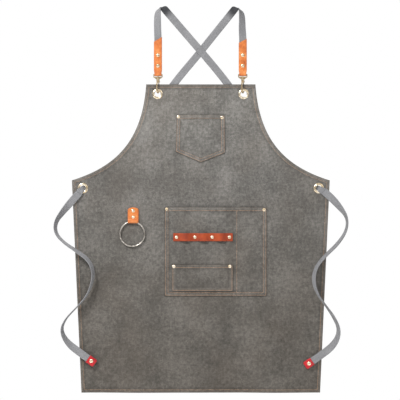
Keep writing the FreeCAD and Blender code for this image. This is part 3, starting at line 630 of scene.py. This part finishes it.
TIE_ROUTES = {
    "left": [
        (-0.3315, -0.0048, -0.4995, 0), (-0.350, -0.007, -0.520, 8), (-0.3775, -0.011, -0.553, 45),
        (-0.3955, -0.014, -0.579, 66), (-0.3955, -0.015, -0.609, 72), (-0.372, -0.015, -0.635, 75),
        (-0.3365, -0.015, -0.658, 68), (-0.305, -0.015, -0.681, 66), (-0.2915, -0.015, -0.711, 70),
        (-0.2955, -0.015, -0.747, 75), (-0.312, -0.015, -0.7835, 82), (-0.342, -0.015, -0.815, 84),
        (-0.3695, -0.015, -0.844, 82), (-0.3805, -0.014, -0.874, 74), (-0.364, -0.011, -0.907, 48),
        (-0.3325, -0.0065, -0.9325, 0), (-0.293, -0.005, -0.9616, 0),
    ],
    "right": [
        (0.3355, -0.0048, -0.4951, 0), (0.350, -0.006, -0.507, -6), (0.376, -0.010, -0.535, -40),
        (0.399, -0.014, -0.5665, -80), (0.3965, -0.015, -0.602, -78), (0.373, -0.015, -0.6375, -68),
        (0.339, -0.015, -0.6695, -70), (0.313, -0.015, -0.700, -70), (0.305, -0.015, -0.737, -62),
        (0.316, -0.015, -0.774, -78), (0.339, -0.015, -0.805, -80), (0.3625, -0.015, -0.838, -70),
        (0.3775, -0.014, -0.872, -70), (0.368, -0.011, -0.906, -46), (0.3375, -0.0065, -0.936, 0),
        (0.289, -0.005, -0.968, 0),
    ],
}


def plane_lean(before, after):
    """Angle of the width direction of webbing that runs from before to after facing the front."""
    return math.degrees(math.atan2(after[0] - before[0], before[2] - after[2]))


def spread_stations(stations, step):
    """Cubic interpolation through (centre, width direction, width) stations."""
    values = np.array([[*centre, *across, width] for centre, across, width in stations])
    gaps = np.linalg.norm(values[1:, :3] - values[:-1, :3], axis=1)
    at = np.concatenate([[0], np.cumsum(gaps)])
    marks = np.linspace(0, at[-1], int(at[-1] / step) + 2)
    slopes = np.zeros_like(values)
    secants = (values[1:] - values[:-1]) / gaps[:, None]
    slopes[0], slopes[-1] = secants[0], secants[-1]
    inner = (secants[1:] * gaps[:-1, None] + secants[:-1] * gaps[1:, None]) / (gaps[1:] + gaps[:-1])[:, None]
    slopes[1:-1] = inner
    out = []
    for mark in marks:
        i = min(max(np.searchsorted(at, mark) - 1, 0), len(gaps) - 1)
        h = gaps[i]
        t = (mark - at[i]) / h
        a, b = values[i], values[i + 1]
        out.append((2 * t ** 3 - 3 * t * t + 1) * a + (t ** 3 - 2 * t * t + t) * h * slopes[i]
                   + (3 * t * t - 2 * t ** 3) * b + (t ** 3 - t * t) * h * slopes[i + 1])
    out = np.array(out)
    return out[:, :3], out[:, 3:6], out[:, 6]


def strap_arch(side):
    sign = SIDES[side]
    stations = []
    for out, z, slant, turn in ARCH_ROUTE[side]:
        flat = np.array([math.cos(math.radians(slant)), 0, -sign * math.sin(math.radians(slant))])
        across = flat * math.cos(math.radians(turn))
        across[1] = sign * math.sin(math.radians(turn))
        stations.append(((sign * out, 0, z), across, WEB_WIDTH))
    return stations


# Index of the station at the top of the arch, counted from inside the leather end.
TOP_STATION = 10
# From the waist eyelet's centre: distance, y and width of the webbing, before and after the hole.
HOLE_APPROACH = ((0.009, 0.0042, 0.017), (0.0022, 0.0032, 0.0133))
HOLE_EXIT = ((0.0022, -0.0034, 0.0133), (0.009, -0.0047, 0.0175))
WEB_IN_HOLE = 0.013


def shoulder_strap(side):
    """From inside the leather end, over the peg, across the back and out of the far eyelet."""
    far = -SIDES[side]
    x = HOOK_X[side]
    stations = [((x, 0, z), lean(0), WEB_WIDTH) for z in (-0.160, -0.144, -0.110, -0.078)]
    stations += strap_arch(side)
    start = np.array(stations[-1][0])
    crossing = np.array([0, CROSS_Y[side], CROSS_Z])
    for share in (0.25, 0.5, 0.75):
        stations.append((start + (crossing - start) * share, -lean(far * DIAGONAL_LEAN), WEB_WIDTH))
    stations.append((crossing, -lean(far * DIAGONAL_LEAN), WEB_WIDTH))
    hole = np.array([far * WAIST_EYELET[0], 0, WAIST_EYELET[1]])
    places = [np.array([far * px, BACK_Y, pz]) for px, pz in BACK_ROUTE]
    ahead = places[1:] + [hole]
    behind = [np.array([0, BACK_Y, CROSS_Z])] + places[:-1]
    for place, before, after in zip(places, behind, ahead):
        stations.append((place, -lean(plane_lean(before, after)), WEB_WIDTH))
    tie = TIE_ROUTES["right" if side == "left" else "left"]
    arrive = hole - places[-1]
    arrive[1] = 0
    arrive /= np.linalg.norm(arrive)
    leave = np.array([tie[1][0] - tie[0][0], 0, tie[1][2] - tie[0][2]])
    leave /= np.linalg.norm(leave)
    lean_in = plane_lean((0, 0, 0), arrive)
    lean_out = plane_lean((0, 0, 0), leave)
    for distance, y, width in HOLE_APPROACH:
        stations.append((hole - arrive * distance + (0, y, 0), -lean(lean_in), width))
    stations.append((hole, -lean((lean_in + lean_out) / 2), WEB_IN_HOLE))
    for distance, y, width in HOLE_EXIT:
        stations.append((hole + leave * distance + (0, y, 0), -lean(lean_out), width))
    stations.append((np.array(tie[0][:3]), -lean(lean_out), WEB_WIDTH))
    peg_run = 0.0
    for a, b in zip(stations[:TOP_STATION], stations[1:]):
        peg_run += float(np.linalg.norm(np.array(b[0]) - np.array(a[0])))

    def painted_shade_at(run):
        """Painted shade where the webbing turns over the peg, fading down the diagonal leg."""
        past = run - peg_run
        return np.where(past < 0, smooth(1 + past / 0.003), smooth(1 - (past - 0.015) / 0.026))
    return band("shoulder_webbing_" + side, *spread_stations(stations, 0.0025), WEB, painted_shade_at=painted_shade_at)


def waist_tie(side):
    route = TIE_ROUTES[side]
    line = nurbs([p[:3] for p in route])
    turns = np.radians(nurbs([(p[3] / 100, 0, 0) for p in route])[:, 0] * 100)
    along = np.gradient(line, axis=0)
    along /= np.linalg.norm(along, axis=1)[:, None]
    flat = np.cross(along, (0, 1, 0))
    flat /= np.linalg.norm(flat, axis=1)[:, None]
    depth = np.cross(flat, along)
    across = flat * np.cos(turns)[:, None] + depth * np.sin(turns)[:, None]
    piece = band("waist_webbing_" + side, line, across, np.full(len(line), WEB_WIDTH), WEB)
    return piece, line, along[-1], across[-1]


straps = {side: shoulder_strap(side) for side in SIDES}
ties = {side: waist_tie(side) for side in SIDES}


# ---- leather ----

LEATHER = 0.002
STRAP_TOP, STRAP_BOTTOM = -0.609, -0.631
STRAP_RIVET_X = [-0.066, -0.016, 0.031, 0.078]
STRAP_END = 0.009
STRAP_BOW = 0.0062
TAB_WIDTH = 0.0295
RING_WIRE = 0.00225
RING_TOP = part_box("towel_ring")[1].z - RING_WIRE
TAB_BORE = 0.0026


def tool_strap():
    mid_y = TOOL_FRONT - LEATHER / 2
    marks = np.linspace(STRAP_RIVET_X[0] - STRAP_END, STRAP_RIVET_X[-1] + STRAP_END, 150)
    bow = np.zeros_like(marks)
    for left, right in zip(STRAP_RIVET_X, STRAP_RIVET_X[1:]):
        share = np.clip((marks - left - 0.0065) / (right - left - 0.013), 0, 1)
        bow += np.sin(np.pi * share) ** 1.3 * ((share > 0) & (share < 1))
    mid_z = (STRAP_TOP + STRAP_BOTTOM) / 2
    centres = [(x, mid_y - STRAP_BOW * b, mid_z) for x, b in zip(marks, bow)]
    return band("tool_strap_leather", centres, [(0, 0, 1)] * len(marks),
                np.full(len(marks), STRAP_TOP - STRAP_BOTTOM), LEATHER, 0.5, 11)


def arc_points(cy, cz, radius, start, end, count):
    angles = [math.radians(start + (end - start) * i / count) for i in range(count + 1)]
    return [(cy + radius * math.cos(angle), cz + radius * math.sin(angle)) for angle in angles]


def dense(path, step):
    return [tuple(p) for p in resample(path, step)]


def towel_tab():
    ring_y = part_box("towel_ring")[1].y - RING_WIRE
    back_y = -HALF_CLOTH - LEATHER / 2
    front_y = back_y - LEATHER
    radius = TAB_BORE + LEATHER / 2
    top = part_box("towel_tab")[1].z
    x = centre("towel_tab").x
    path = [(back_y, top), (back_y, RING_TOP)] + arc_points(ring_y, RING_TOP, radius, 0, -180, 14)[1:]
    path += [(ring_y - radius + 0.0004, RING_TOP + 0.0022), (front_y - 0.0007, RING_TOP + 0.0052),
             (front_y, RING_TOP + 0.0072), (front_y, top)]
    path = dense(path, 0.0009)
    shoulder = TAB_WIDTH / 4
    widths = []
    for y, z in path:
        rise = np.clip((z - (top - shoulder)) / shoulder, 0, 1)
        width = TAB_WIDTH * math.sqrt(max(1 - (0.985 * rise) ** 2, 0.0))
        pinch = 0.0006 * math.exp(-((z - RING_TOP) / 0.005) ** 2)
        widths.append(width - pinch)
    centres = [(x, y, z) for y, z in path]
    return band("towel_tab_leather", centres, [(1, 0, 0)] * len(path), widths, LEATHER, 0.4, 11)


TAB_CUT_LOW = {"left": -0.087, "right": -0.090}
TAB_CUT_HIGH = {"left": -0.074, "right": -0.079}


def hook_tab(side):
    x = HOOK_X[side]
    top = (TAB_CUT_LOW[side] + TAB_CUT_HIGH[side]) / 2
    bar_z = -0.1765
    lay = WEB / 2 + LEATHER / 2
    radius = 0.0031
    path = [(-lay, top), (-lay, -0.1655), (-radius + 0.0002, -0.1735)]
    path += arc_points(0, bar_z, radius, 180, 360, 14)
    path += [(radius - 0.0002, -0.1735), (lay, -0.1655), (lay, top)]
    path = dense(path, 0.001)
    widths = [0.022 - 0.0024 * float(smooth((-0.164 - z) / 0.009)) for y, z in path]

    def cut_slanted(v):
        share = smooth((v[:, 2] + 0.108) / (0.108 + top))
        v[:, 2] += share * (v[:, 0] - x) * (TAB_CUT_HIGH[side] - TAB_CUT_LOW[side]) / 0.022
        return v
    centres = [(x, y, z) for y, z in path]
    return band("strap_end_leather_" + side, centres, [(1, 0, 0)] * len(path), widths, LEATHER, 0.4, 9,
                cut_slanted)


def tie_tip(side, end, along, across):
    """Folded leather over the webbing's end: two layers that meet in a rounded nose."""
    facing = np.cross(across, along)
    if facing[1] > 0:
        facing = -facing
    half = WEB / 2 + 0.9 * MM
    back, nose = -0.018, 0.006
    path = [(half, back), (half, nose - 0.003)] + [
        (half * math.cos(math.radians(a)), nose - 0.003 + 0.003 * math.sin(math.radians(a)) * 0.75)
        for a in range(15, 180, 15)] + [(-half, nose - 0.003), (-half, back)]
    path = dense(path, 0.0008)
    centres = [end + facing * f + along * a for f, a in path]
    widths = []
    for f, a in path:
        near = np.clip((a - (nose - 0.0050)) / 0.0050, 0, 1)
        widths.append(0.022 - 0.0058 * near * near)
    return band("tie_end_leather_" + side, centres, [across] * len(path), widths, 1.8 * MM, 0.4, 9)


leather_strap = tool_strap()
tab_leather = towel_tab()
hook_tabs = {side: hook_tab(side) for side in SIDES}
tips = {side: tie_tip(side, ties[side][1][-1], ties[side][2], ties[side][3]) for side in SIDES}


# ---- materials ----

def add(tree, kind, inputs=None, **settings):
    made = tree.nodes.new("ShaderNode" + kind)
    for key, value in settings.items():
        setattr(made, key, value)
    for socket, source in (inputs or {}).items():
        if isinstance(source, bpy.types.NodeSocket):
            tree.links.new(source, made.inputs[socket])
        else:
            made.inputs[socket].default_value = source
    return made


def mix(tree, factor, a, b, blend="MIX"):
    made = add(tree, "Mix", {0: factor, 6: a, 7: b}, data_type="RGBA", blend_type=blend)
    return made.outputs[2]


def calc(tree, operation, a, b=0.0, c=0.0):
    return add(tree, "Math", {0: a, 1: b, 2: c}, operation=operation).outputs[0]


def ramp(tree, value, stops, interpolation="LINEAR"):
    made = add(tree, "ValToRGB", {"Fac": value})
    made.color_ramp.interpolation = interpolation
    elements = made.color_ramp.elements
    while len(elements) < len(stops):
        elements.new(0.5)
    for element, (place, colour) in zip(elements, stops):
        element.position = place
        element.color = colour if hasattr(colour, "__len__") else (colour, colour, colour, 1)
    return made.outputs["Color"]


def start_material(name):
    material = bpy.data.materials.new(name)
    material.use_nodes = True
    tree = material.node_tree
    return material, tree, tree.nodes["Principled BSDF"]


def cloud(tree, vector, scale, detail=4.0, roughness=0.55):
    return add(tree, "TexNoise", {"Vector": vector, "Scale": scale, "Detail": detail, "Roughness": roughness})


def stretched(tree, vector, sizes):
    return add(tree, "Mapping", {"Vector": vector, "Scale": sizes}).outputs[0]


def canvas_material():
    material, tree, shader = start_material("washed_canvas")
    place = add(tree, "TexCoord").outputs["Object"]
    patches = cloud(tree, place, 10.0, 6.0, 0.58).outputs["Fac"]
    blotch = cloud(tree, place, 120.0, 5.0, 0.72).outputs["Fac"]
    warped = mix(tree, 0.035, place, cloud(tree, place, 60.0, 3.0).outputs["Color"])
    veins = add(tree, "TexVoronoi", {"Vector": warped, "Scale": 85.0}, feature="DISTANCE_TO_EDGE").outputs[0]
    crinkle = ramp(tree, veins, [(0.0, 1.0), (0.055, 0.45), (0.16, 0.0)])
    crinkle = calc(tree, "MULTIPLY", crinkle, ramp(tree, cloud(tree, place, 38.0, 3.0).outputs["Fac"],
                                                   [(0.40, 0.0), (0.62, 1.0)]))
    speck = cloud(tree, place, 420.0, 3.0, 0.6).outputs["Fac"]
    slub = cloud(tree, stretched(tree, place, (30.0, 30.0, 420.0)), 1.0, 2.0, 0.5).outputs["Fac"]
    warp = cloud(tree, stretched(tree, place, (520.0, 40.0, 24.0)), 1.0, 2.0, 0.5).outputs["Fac"]
    tone = calc(tree, "MULTIPLY_ADD", patches, 0.42, calc(tree, "MULTIPLY", blotch, 0.58))
    washed = [(0.36, rgb(85, 83, 80)), (0.48, rgb(105, 103, 99)), (0.64, rgb(138, 135, 131))]
    colour = ramp(tree, tone, washed)
    colour = mix(tree, calc(tree, "MULTIPLY", crinkle, 0.42), colour, rgb(150, 146, 140))
    rusty = ramp(tree, cloud(tree, place, 7.0, 3.0, 0.5).outputs["Fac"], [(0.42, 0.0), (0.68, 1.0)])
    # Painted shade by height: the canvas is darker towards the hem, as under light from above, with a warmer
    # tint low down, and darker along the top hem of the bib.
    low = add(tree, "SeparateXYZ", {0: place}).outputs["Z"]
    lower_share = add(tree, "MapRange", {0: low, 1: -0.95, 2: -0.20, 3: 1.0, 4: 0.0}).outputs[0]
    colour = mix(tree, calc(tree, "MULTIPLY", rusty, 0.22), colour, rgb(112, 102, 92))
    shade_and_tint_by_height = ramp(tree, lower_share, [(0.0, 0.68), (0.014, 0.72), (0.026, 0.98), (0.12, 0.98),
                              (0.35, (0.78, 0.775, 0.775, 1)), (0.70, (0.65, 0.63, 0.61, 1)),
                              (1.0, (0.58, 0.55, 0.52, 1))])
    colour = mix(tree, 1.0, colour, shade_and_tint_by_height, "MULTIPLY")
    grain = calc(tree, "ADD", calc(tree, "MULTIPLY", speck, 0.5),
                 calc(tree, "MULTIPLY", calc(tree, "ADD", slub, warp), 0.25))
    shade = ramp(tree, grain, [(0.36, 0.80), (0.50, 1.0), (0.66, 1.20)])
    colour = mix(tree, 1.0, colour, shade, "MULTIPLY")
    edge = calc(tree, "DIVIDE", add(tree, "Attribute", attribute_name="edge").outputs["Fac"], 0.020)
    ragged = cloud(tree, place, 140.0, 3.0).outputs["Fac"]
    rough_edge = calc(tree, "ADD", edge, calc(tree, "MULTIPLY_ADD", ragged, 0.16, -0.08))
    worn = ramp(tree, rough_edge, [(0.0, 0.3), (0.06, 0.8), (0.14, 0.35), (0.36, 0.20), (0.46, 0.0)])
    patchy = ramp(tree, cloud(tree, place, 90.0, 4.0, 0.6).outputs["Fac"], [(0.40, 0.25), (0.60, 1.0)])
    worn = calc(tree, "MULTIPLY", worn, calc(tree, "MULTIPLY", patchy, 0.60))
    colour = mix(tree, worn, colour, rgb(132, 119, 107))
    # Painted shade: dark along the very edge of each piece, where the cloth turns under, and a darker band
    # about 12 mm in, at the hem's inner edge.
    painted_edge_shade = ramp(tree, edge, [(0.0, 0.42), (0.05, 0.72), (0.10, 0.95), (0.46, 0.98),
                               (0.60, 0.78), (0.70, 0.90), (0.90, 1.0)])
    colour = mix(tree, 1.0, colour, painted_edge_shade, "MULTIPLY")
    tree.links.new(colour, shader.inputs["Base Color"])
    shader.inputs["Roughness"].default_value = 0.92
    shader.inputs["Specular IOR Level"].default_value = 0.18
    shader.inputs["Sheen Weight"].default_value = 0.12
    shader.inputs["Sheen Roughness"].default_value = 0.6
    weave_x = add(tree, "TexWave", {"Vector": place, "Scale": 240.0, "Distortion": 1.2, "Detail": 1.0,
                                    "Detail Scale": 2.0}, bands_direction="X").outputs["Fac"]
    weave_z = add(tree, "TexWave", {"Vector": place, "Scale": 240.0, "Distortion": 1.2, "Detail": 1.0,
                                    "Detail Scale": 2.0}, bands_direction="Z").outputs["Fac"]
    weave = calc(tree, "MAXIMUM", weave_x, weave_z)
    soft = calc(tree, "MULTIPLY_ADD", blotch, 1.6, grain)
    height = calc(tree, "ADD", calc(tree, "MULTIPLY", weave, 0.45), soft)
    bump = add(tree, "Bump", {"Strength": 0.40, "Distance": 0.0005, "Height": height})
    tree.links.new(bump.outputs["Normal"], shader.inputs["Normal"])
    return material


def webbing_material():
    material, tree, shader = start_material("cotton_webbing")
    run = add(tree, "Attribute", attribute_name="run").outputs["Fac"]
    side = add(tree, "Attribute", attribute_name="side").outputs["Fac"]
    place = add(tree, "TexCoord").outputs["Object"]
    slant = calc(tree, "ADD", run, calc(tree, "MULTIPLY", calc(tree, "ABSOLUTE", side), 0.9))
    ribs = calc(tree, "MULTIPLY_ADD", calc(tree, "SINE", calc(tree, "MULTIPLY", slant, 3900.0)), 0.5, 0.5)
    lanes = calc(tree, "MULTIPLY_ADD", calc(tree, "SINE", calc(tree, "MULTIPLY", side, 4300.0)), 0.5, 0.5)
    weave = calc(tree, "MULTIPLY", ribs, lanes)
    fibres = cloud(tree, place, 900.0, 2.0).outputs["Fac"]
    tone = calc(tree, "MULTIPLY_ADD", weave, 0.55, calc(tree, "MULTIPLY", fibres, 0.6))
    greys = [(0.15, rgb(98, 98, 99)), (0.50, rgb(134, 134, 136)), (0.85, rgb(164, 164, 168))]
    colour = ramp(tree, tone, greys)
    fade = ramp(tree, cloud(tree, place, 22.0, 3.0).outputs["Fac"], [(0.35, 0.90), (0.65, 1.06)])
    colour = mix(tree, 1.0, colour, fade, "MULTIPLY")
    # Painted shade: near-black where the webbing turns over the peg, fading down the diagonal leg.
    painted_shade = add(tree, "Attribute", attribute_name="painted_shade").outputs["Fac"]
    colour = mix(tree, calc(tree, "MULTIPLY", painted_shade, 0.92), colour, rgb(46, 47, 50))
    tree.links.new(colour, shader.inputs["Base Color"])
    shader.inputs["Roughness"].default_value = 0.88
    shader.inputs["Specular IOR Level"].default_value = 0.2
    shader.inputs["Sheen Weight"].default_value = 0.1
    bump = add(tree, "Bump", {"Strength": 0.5, "Distance": 0.0004, "Height": tone})
    tree.links.new(bump.outputs["Normal"], shader.inputs["Normal"])
    return material


def leather_material(name, deep, body, bright, roughness):
    material, tree, shader = start_material(name)
    place = add(tree, "TexCoord").outputs["Object"]
    blotch = cloud(tree, place, 45.0, 5.0, 0.6).outputs["Fac"]
    colour = ramp(tree, blotch, [(0.30, deep), (0.50, body), (0.72, bright)])
    pores = add(tree, "TexVoronoi", {"Vector": place, "Scale": 950.0}, feature="DISTANCE_TO_EDGE").outputs[0]
    creases = cloud(tree, place, 260.0, 4.0, 0.6).outputs["Fac"]
    shade = ramp(tree, calc(tree, "MULTIPLY_ADD", pores, 1.0, calc(tree, "MULTIPLY", creases, 0.6)),
                 [(0.2, 0.86), (0.5, 1.05)])
    colour = mix(tree, 1.0, colour, shade, "MULTIPLY")
    # Darker where the leather curves sharply: real burnish on the cut edges, and painted shade round the
    # folds.
    edge = add(tree, "NewGeometry").outputs["Pointiness"]
    burnish_and_fold_shade = ramp(tree, edge, [(0.50, 0.0), (0.56, 1.0)])
    colour = mix(tree, calc(tree, "MULTIPLY", burnish_and_fold_shade, 0.35), colour, deep)
    tree.links.new(colour, shader.inputs["Base Color"])
    gloss = ramp(tree, creases, [(0.3, roughness - 0.07), (0.7, roughness + 0.10)])
    tree.links.new(gloss, shader.inputs["Roughness"])
    shader.inputs["Specular IOR Level"].default_value = 0.45
    shader.inputs["Coat Weight"].default_value = 0.12
    shader.inputs["Coat Roughness"].default_value = 0.3
    height = calc(tree, "MULTIPLY_ADD", pores, 1.2, creases)
    bump = add(tree, "Bump", {"Strength": 0.35, "Distance": 0.0004, "Height": height})
    tree.links.new(bump.outputs["Normal"], shader.inputs["Normal"])
    return material


def metal_material(name, colour, dark, roughness):
    material, tree, shader = start_material(name)
    place = add(tree, "TexCoord").outputs["Object"]
    tarnish = cloud(tree, place, 160.0, 4.0, 0.6).outputs["Fac"]
    tree.links.new(ramp(tree, tarnish, [(0.38, dark), (0.60, colour)]), shader.inputs["Base Color"])
    shader.inputs["Metallic"].default_value = 1.0
    brush = cloud(tree, place, 1400.0, 2.0).outputs["Fac"]
    tree.links.new(ramp(tree, brush, [(0.3, roughness), (0.7, roughness + 0.14)]), shader.inputs["Roughness"])
    bump = add(tree, "Bump", {"Strength": 0.15, "Distance": 0.0001, "Height": brush})
    tree.links.new(bump.outputs["Normal"], shader.inputs["Normal"])
    return material


def thread_material():
    material, tree, shader = start_material("tan_thread")
    place = add(tree, "TexCoord").outputs["Object"]
    tone = cloud(tree, place, 120.0, 4.0, 0.6).outputs["Fac"]
    colour = ramp(tree, tone, [(0.3, rgb(134, 98, 72)), (0.5, rgb(176, 134, 100)), (0.7, rgb(202, 164, 130))])
    tree.links.new(colour, shader.inputs["Base Color"])
    shader.inputs["Roughness"].default_value = 0.7
    twist = {"Vector": place, "Scale": 700.0, "Distortion": 0.5}
    ply = add(tree, "TexWave", twist, bands_direction="DIAGONAL")
    bump = add(tree, "Bump", {"Strength": 0.4, "Distance": 0.0002, "Height": ply.outputs["Fac"]})
    tree.links.new(bump.outputs["Normal"], shader.inputs["Normal"])
    return material


canvas = canvas_material()
webbing = webbing_material()
thread = thread_material()
strap_leather = leather_material("rust_leather", rgb(130, 42, 4), rgb(152, 54, 4), rgb(166, 66, 8), 0.58)
tan_leather = leather_material("tan_leather", rgb(166, 82, 30), rgb(202, 114, 52), rgb(218, 144, 84), 0.42)
red_leather = leather_material("red_leather", rgb(144, 6, 16), rgb(182, 10, 24), rgb(202, 28, 36), 0.50)
pale_gold = metal_material("pale_gold_metal", rgb(246, 234, 212), rgb(208, 186, 150), 0.20)
hook_gold = metal_material("hook_gold_metal", rgb(226, 206, 172), rgb(176, 150, 112), 0.22)
nickel = metal_material("nickel_metal", rgb(198, 192, 184), rgb(150, 144, 136), 0.20)
steel = metal_material("spring_steel", rgb(200, 200, 202), rgb(150, 150, 154), 0.24)


def dress(piece, material):
    piece.data.materials.clear()
    piece.data.materials.append(material)


for name, node in nodes.items():
    chosen = canvas
    if "rivet" in name:
        chosen = pale_gold
    elif name.startswith(("eyelet", "washer")):
        chosen = pale_gold
    elif name.startswith(("hook_gate_pin", "hook_spring")):
        chosen = steel
    elif name.startswith("hook_"):
        chosen = hook_gold
    elif name == "towel_ring":
        chosen = nickel
    for slot in node.material_slots:
        slot.material = chosen

for piece in (panel, chest, tool, card):
    dress(piece, canvas)
for piece in (hem_thread, pocket_thread):
    dress(piece, thread)
for side in SIDES:
    dress(straps[side], webbing)
    dress(ties[side][0], webbing)
    dress(hook_tabs[side], tan_leather)
    dress(tips[side], red_leather)
dress(leather_strap, strap_leather)
dress(tab_leather, tan_leather)


# ---- riding and replacing ----

own = [panel, chest, tool, card, hem_thread, pocket_thread, leather_strap, tab_leather]
for side in SIDES:
    own += [straps[side], ties[side][0], hook_tabs[side], tips[side]]
for piece in own:
    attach(piece, "root")

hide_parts("apron_panel")
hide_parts("chest_pocket")
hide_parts("tool_pocket")
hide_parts("card_pocket")
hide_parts("tool_strap")
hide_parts("towel_tab")
for side in SIDES:
    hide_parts("strap_front_" + side, "strap_arch_" + side, "strap_back_" + side)
    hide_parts("waist_tie_" + side)
    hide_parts("hook_tab_" + side)
    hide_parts("tie_tip_" + side)

for side in SIDES:
    piece, line, _, _ = ties[side]


# ---- floor, light and camera ----

FLOOR_Z = -1.12
FLOOR_HALF = 2.6
FLOOR_FRONT, FLOOR_BACK = -3.0, 0.34
floor_corners = [(-FLOOR_HALF, FLOOR_FRONT, FLOOR_Z), (FLOOR_HALF, FLOOR_FRONT, FLOOR_Z),
                 (FLOOR_HALF, FLOOR_BACK, FLOOR_Z), (-FLOOR_HALF, FLOOR_BACK, FLOOR_Z)]
floor = make_object("studio_floor", floor_corners, [(0, 1, 2, 3)])
floor_material, floor_tree, floor_shader = start_material("pale_floor")
floor_tone = cloud(floor_tree, add(floor_tree, "TexCoord").outputs["Object"], 3.0, 3.0).outputs["Fac"]
floor_tree.links.new(ramp(floor_tree, floor_tone, [(0.3, rgb(244, 244, 243)), (0.7, rgb(250, 250, 249))]),
                     floor_shader.inputs["Base Color"])
floor_shader.inputs["Roughness"].default_value = 0.9
dress(floor, floor_material)


def area_light(name, place, target, size, power, colour=(1, 1, 1)):
    data = bpy.data.lights.new(name, "AREA")
    data.shape = "DISK"
    data.size = size
    data.energy = power
    data.color = colour
    light = bpy.data.objects.new(name, data)
    light.location = place
    light.rotation_euler = (Vector(target) - Vector(place)).to_track_quat("-Z", "Y").to_euler()
    bpy.context.scene.collection.objects.link(light)


area_light("key", (-1.5, -1.9, 1.45), (0, 0, -0.42), 0.55, 82)
area_light("fill", (2.2, -2.8, 1.3), (0, 0, -0.35), 2.0, 20)
area_light("rear", (0.6, 2.6, 1.2), (0, 0, -0.5), 1.8, 60)

world = bpy.data.worlds.new("studio")
world.use_nodes = True
bpy.context.scene.world = world
sky = world.node_tree
sky.nodes.clear()
camera_ray = add(sky, "LightPath").outputs["Is Camera Ray"]
up = add(sky, "SeparateXYZ", {0: add(sky, "TexCoord").outputs["Generated"]}).outputs["Z"]
height = calc(sky, "MULTIPLY_ADD", up, 0.5, 0.5)
glow = ramp(sky, height, [(0.0, 0.16), (0.45, 0.26), (0.55, 0.58), (1.0, 0.80)])
background = add(sky, "Background", {"Color": mix(sky, camera_ray, glow, (1, 1, 1, 1)), "Strength": 1.0})
add(sky, "OutputWorld", {"Surface": background.outputs[0]})

bpy.context.scene.view_settings.view_transform = "Standard"
bpy.context.scene.view_settings.look = "None"

LENS = 120.0
SENSOR = 36.0
PICTURE_WIDTH = 1.092
CAMERA_X, CAMERA_Z = -0.0022, -0.5187
camera_data = bpy.data.cameras.new("camera")
camera_data.lens = LENS
camera_data.sensor_width = SENSOR
camera = bpy.data.objects.new("camera", camera_data)
camera.location = (CAMERA_X, -PICTURE_WIDTH * LENS / SENSOR, CAMERA_Z)
camera.rotation_euler = (math.radians(90), 0, 0)
bpy.context.scene.collection.objects.link(camera)
bpy.context.scene.camera = camera
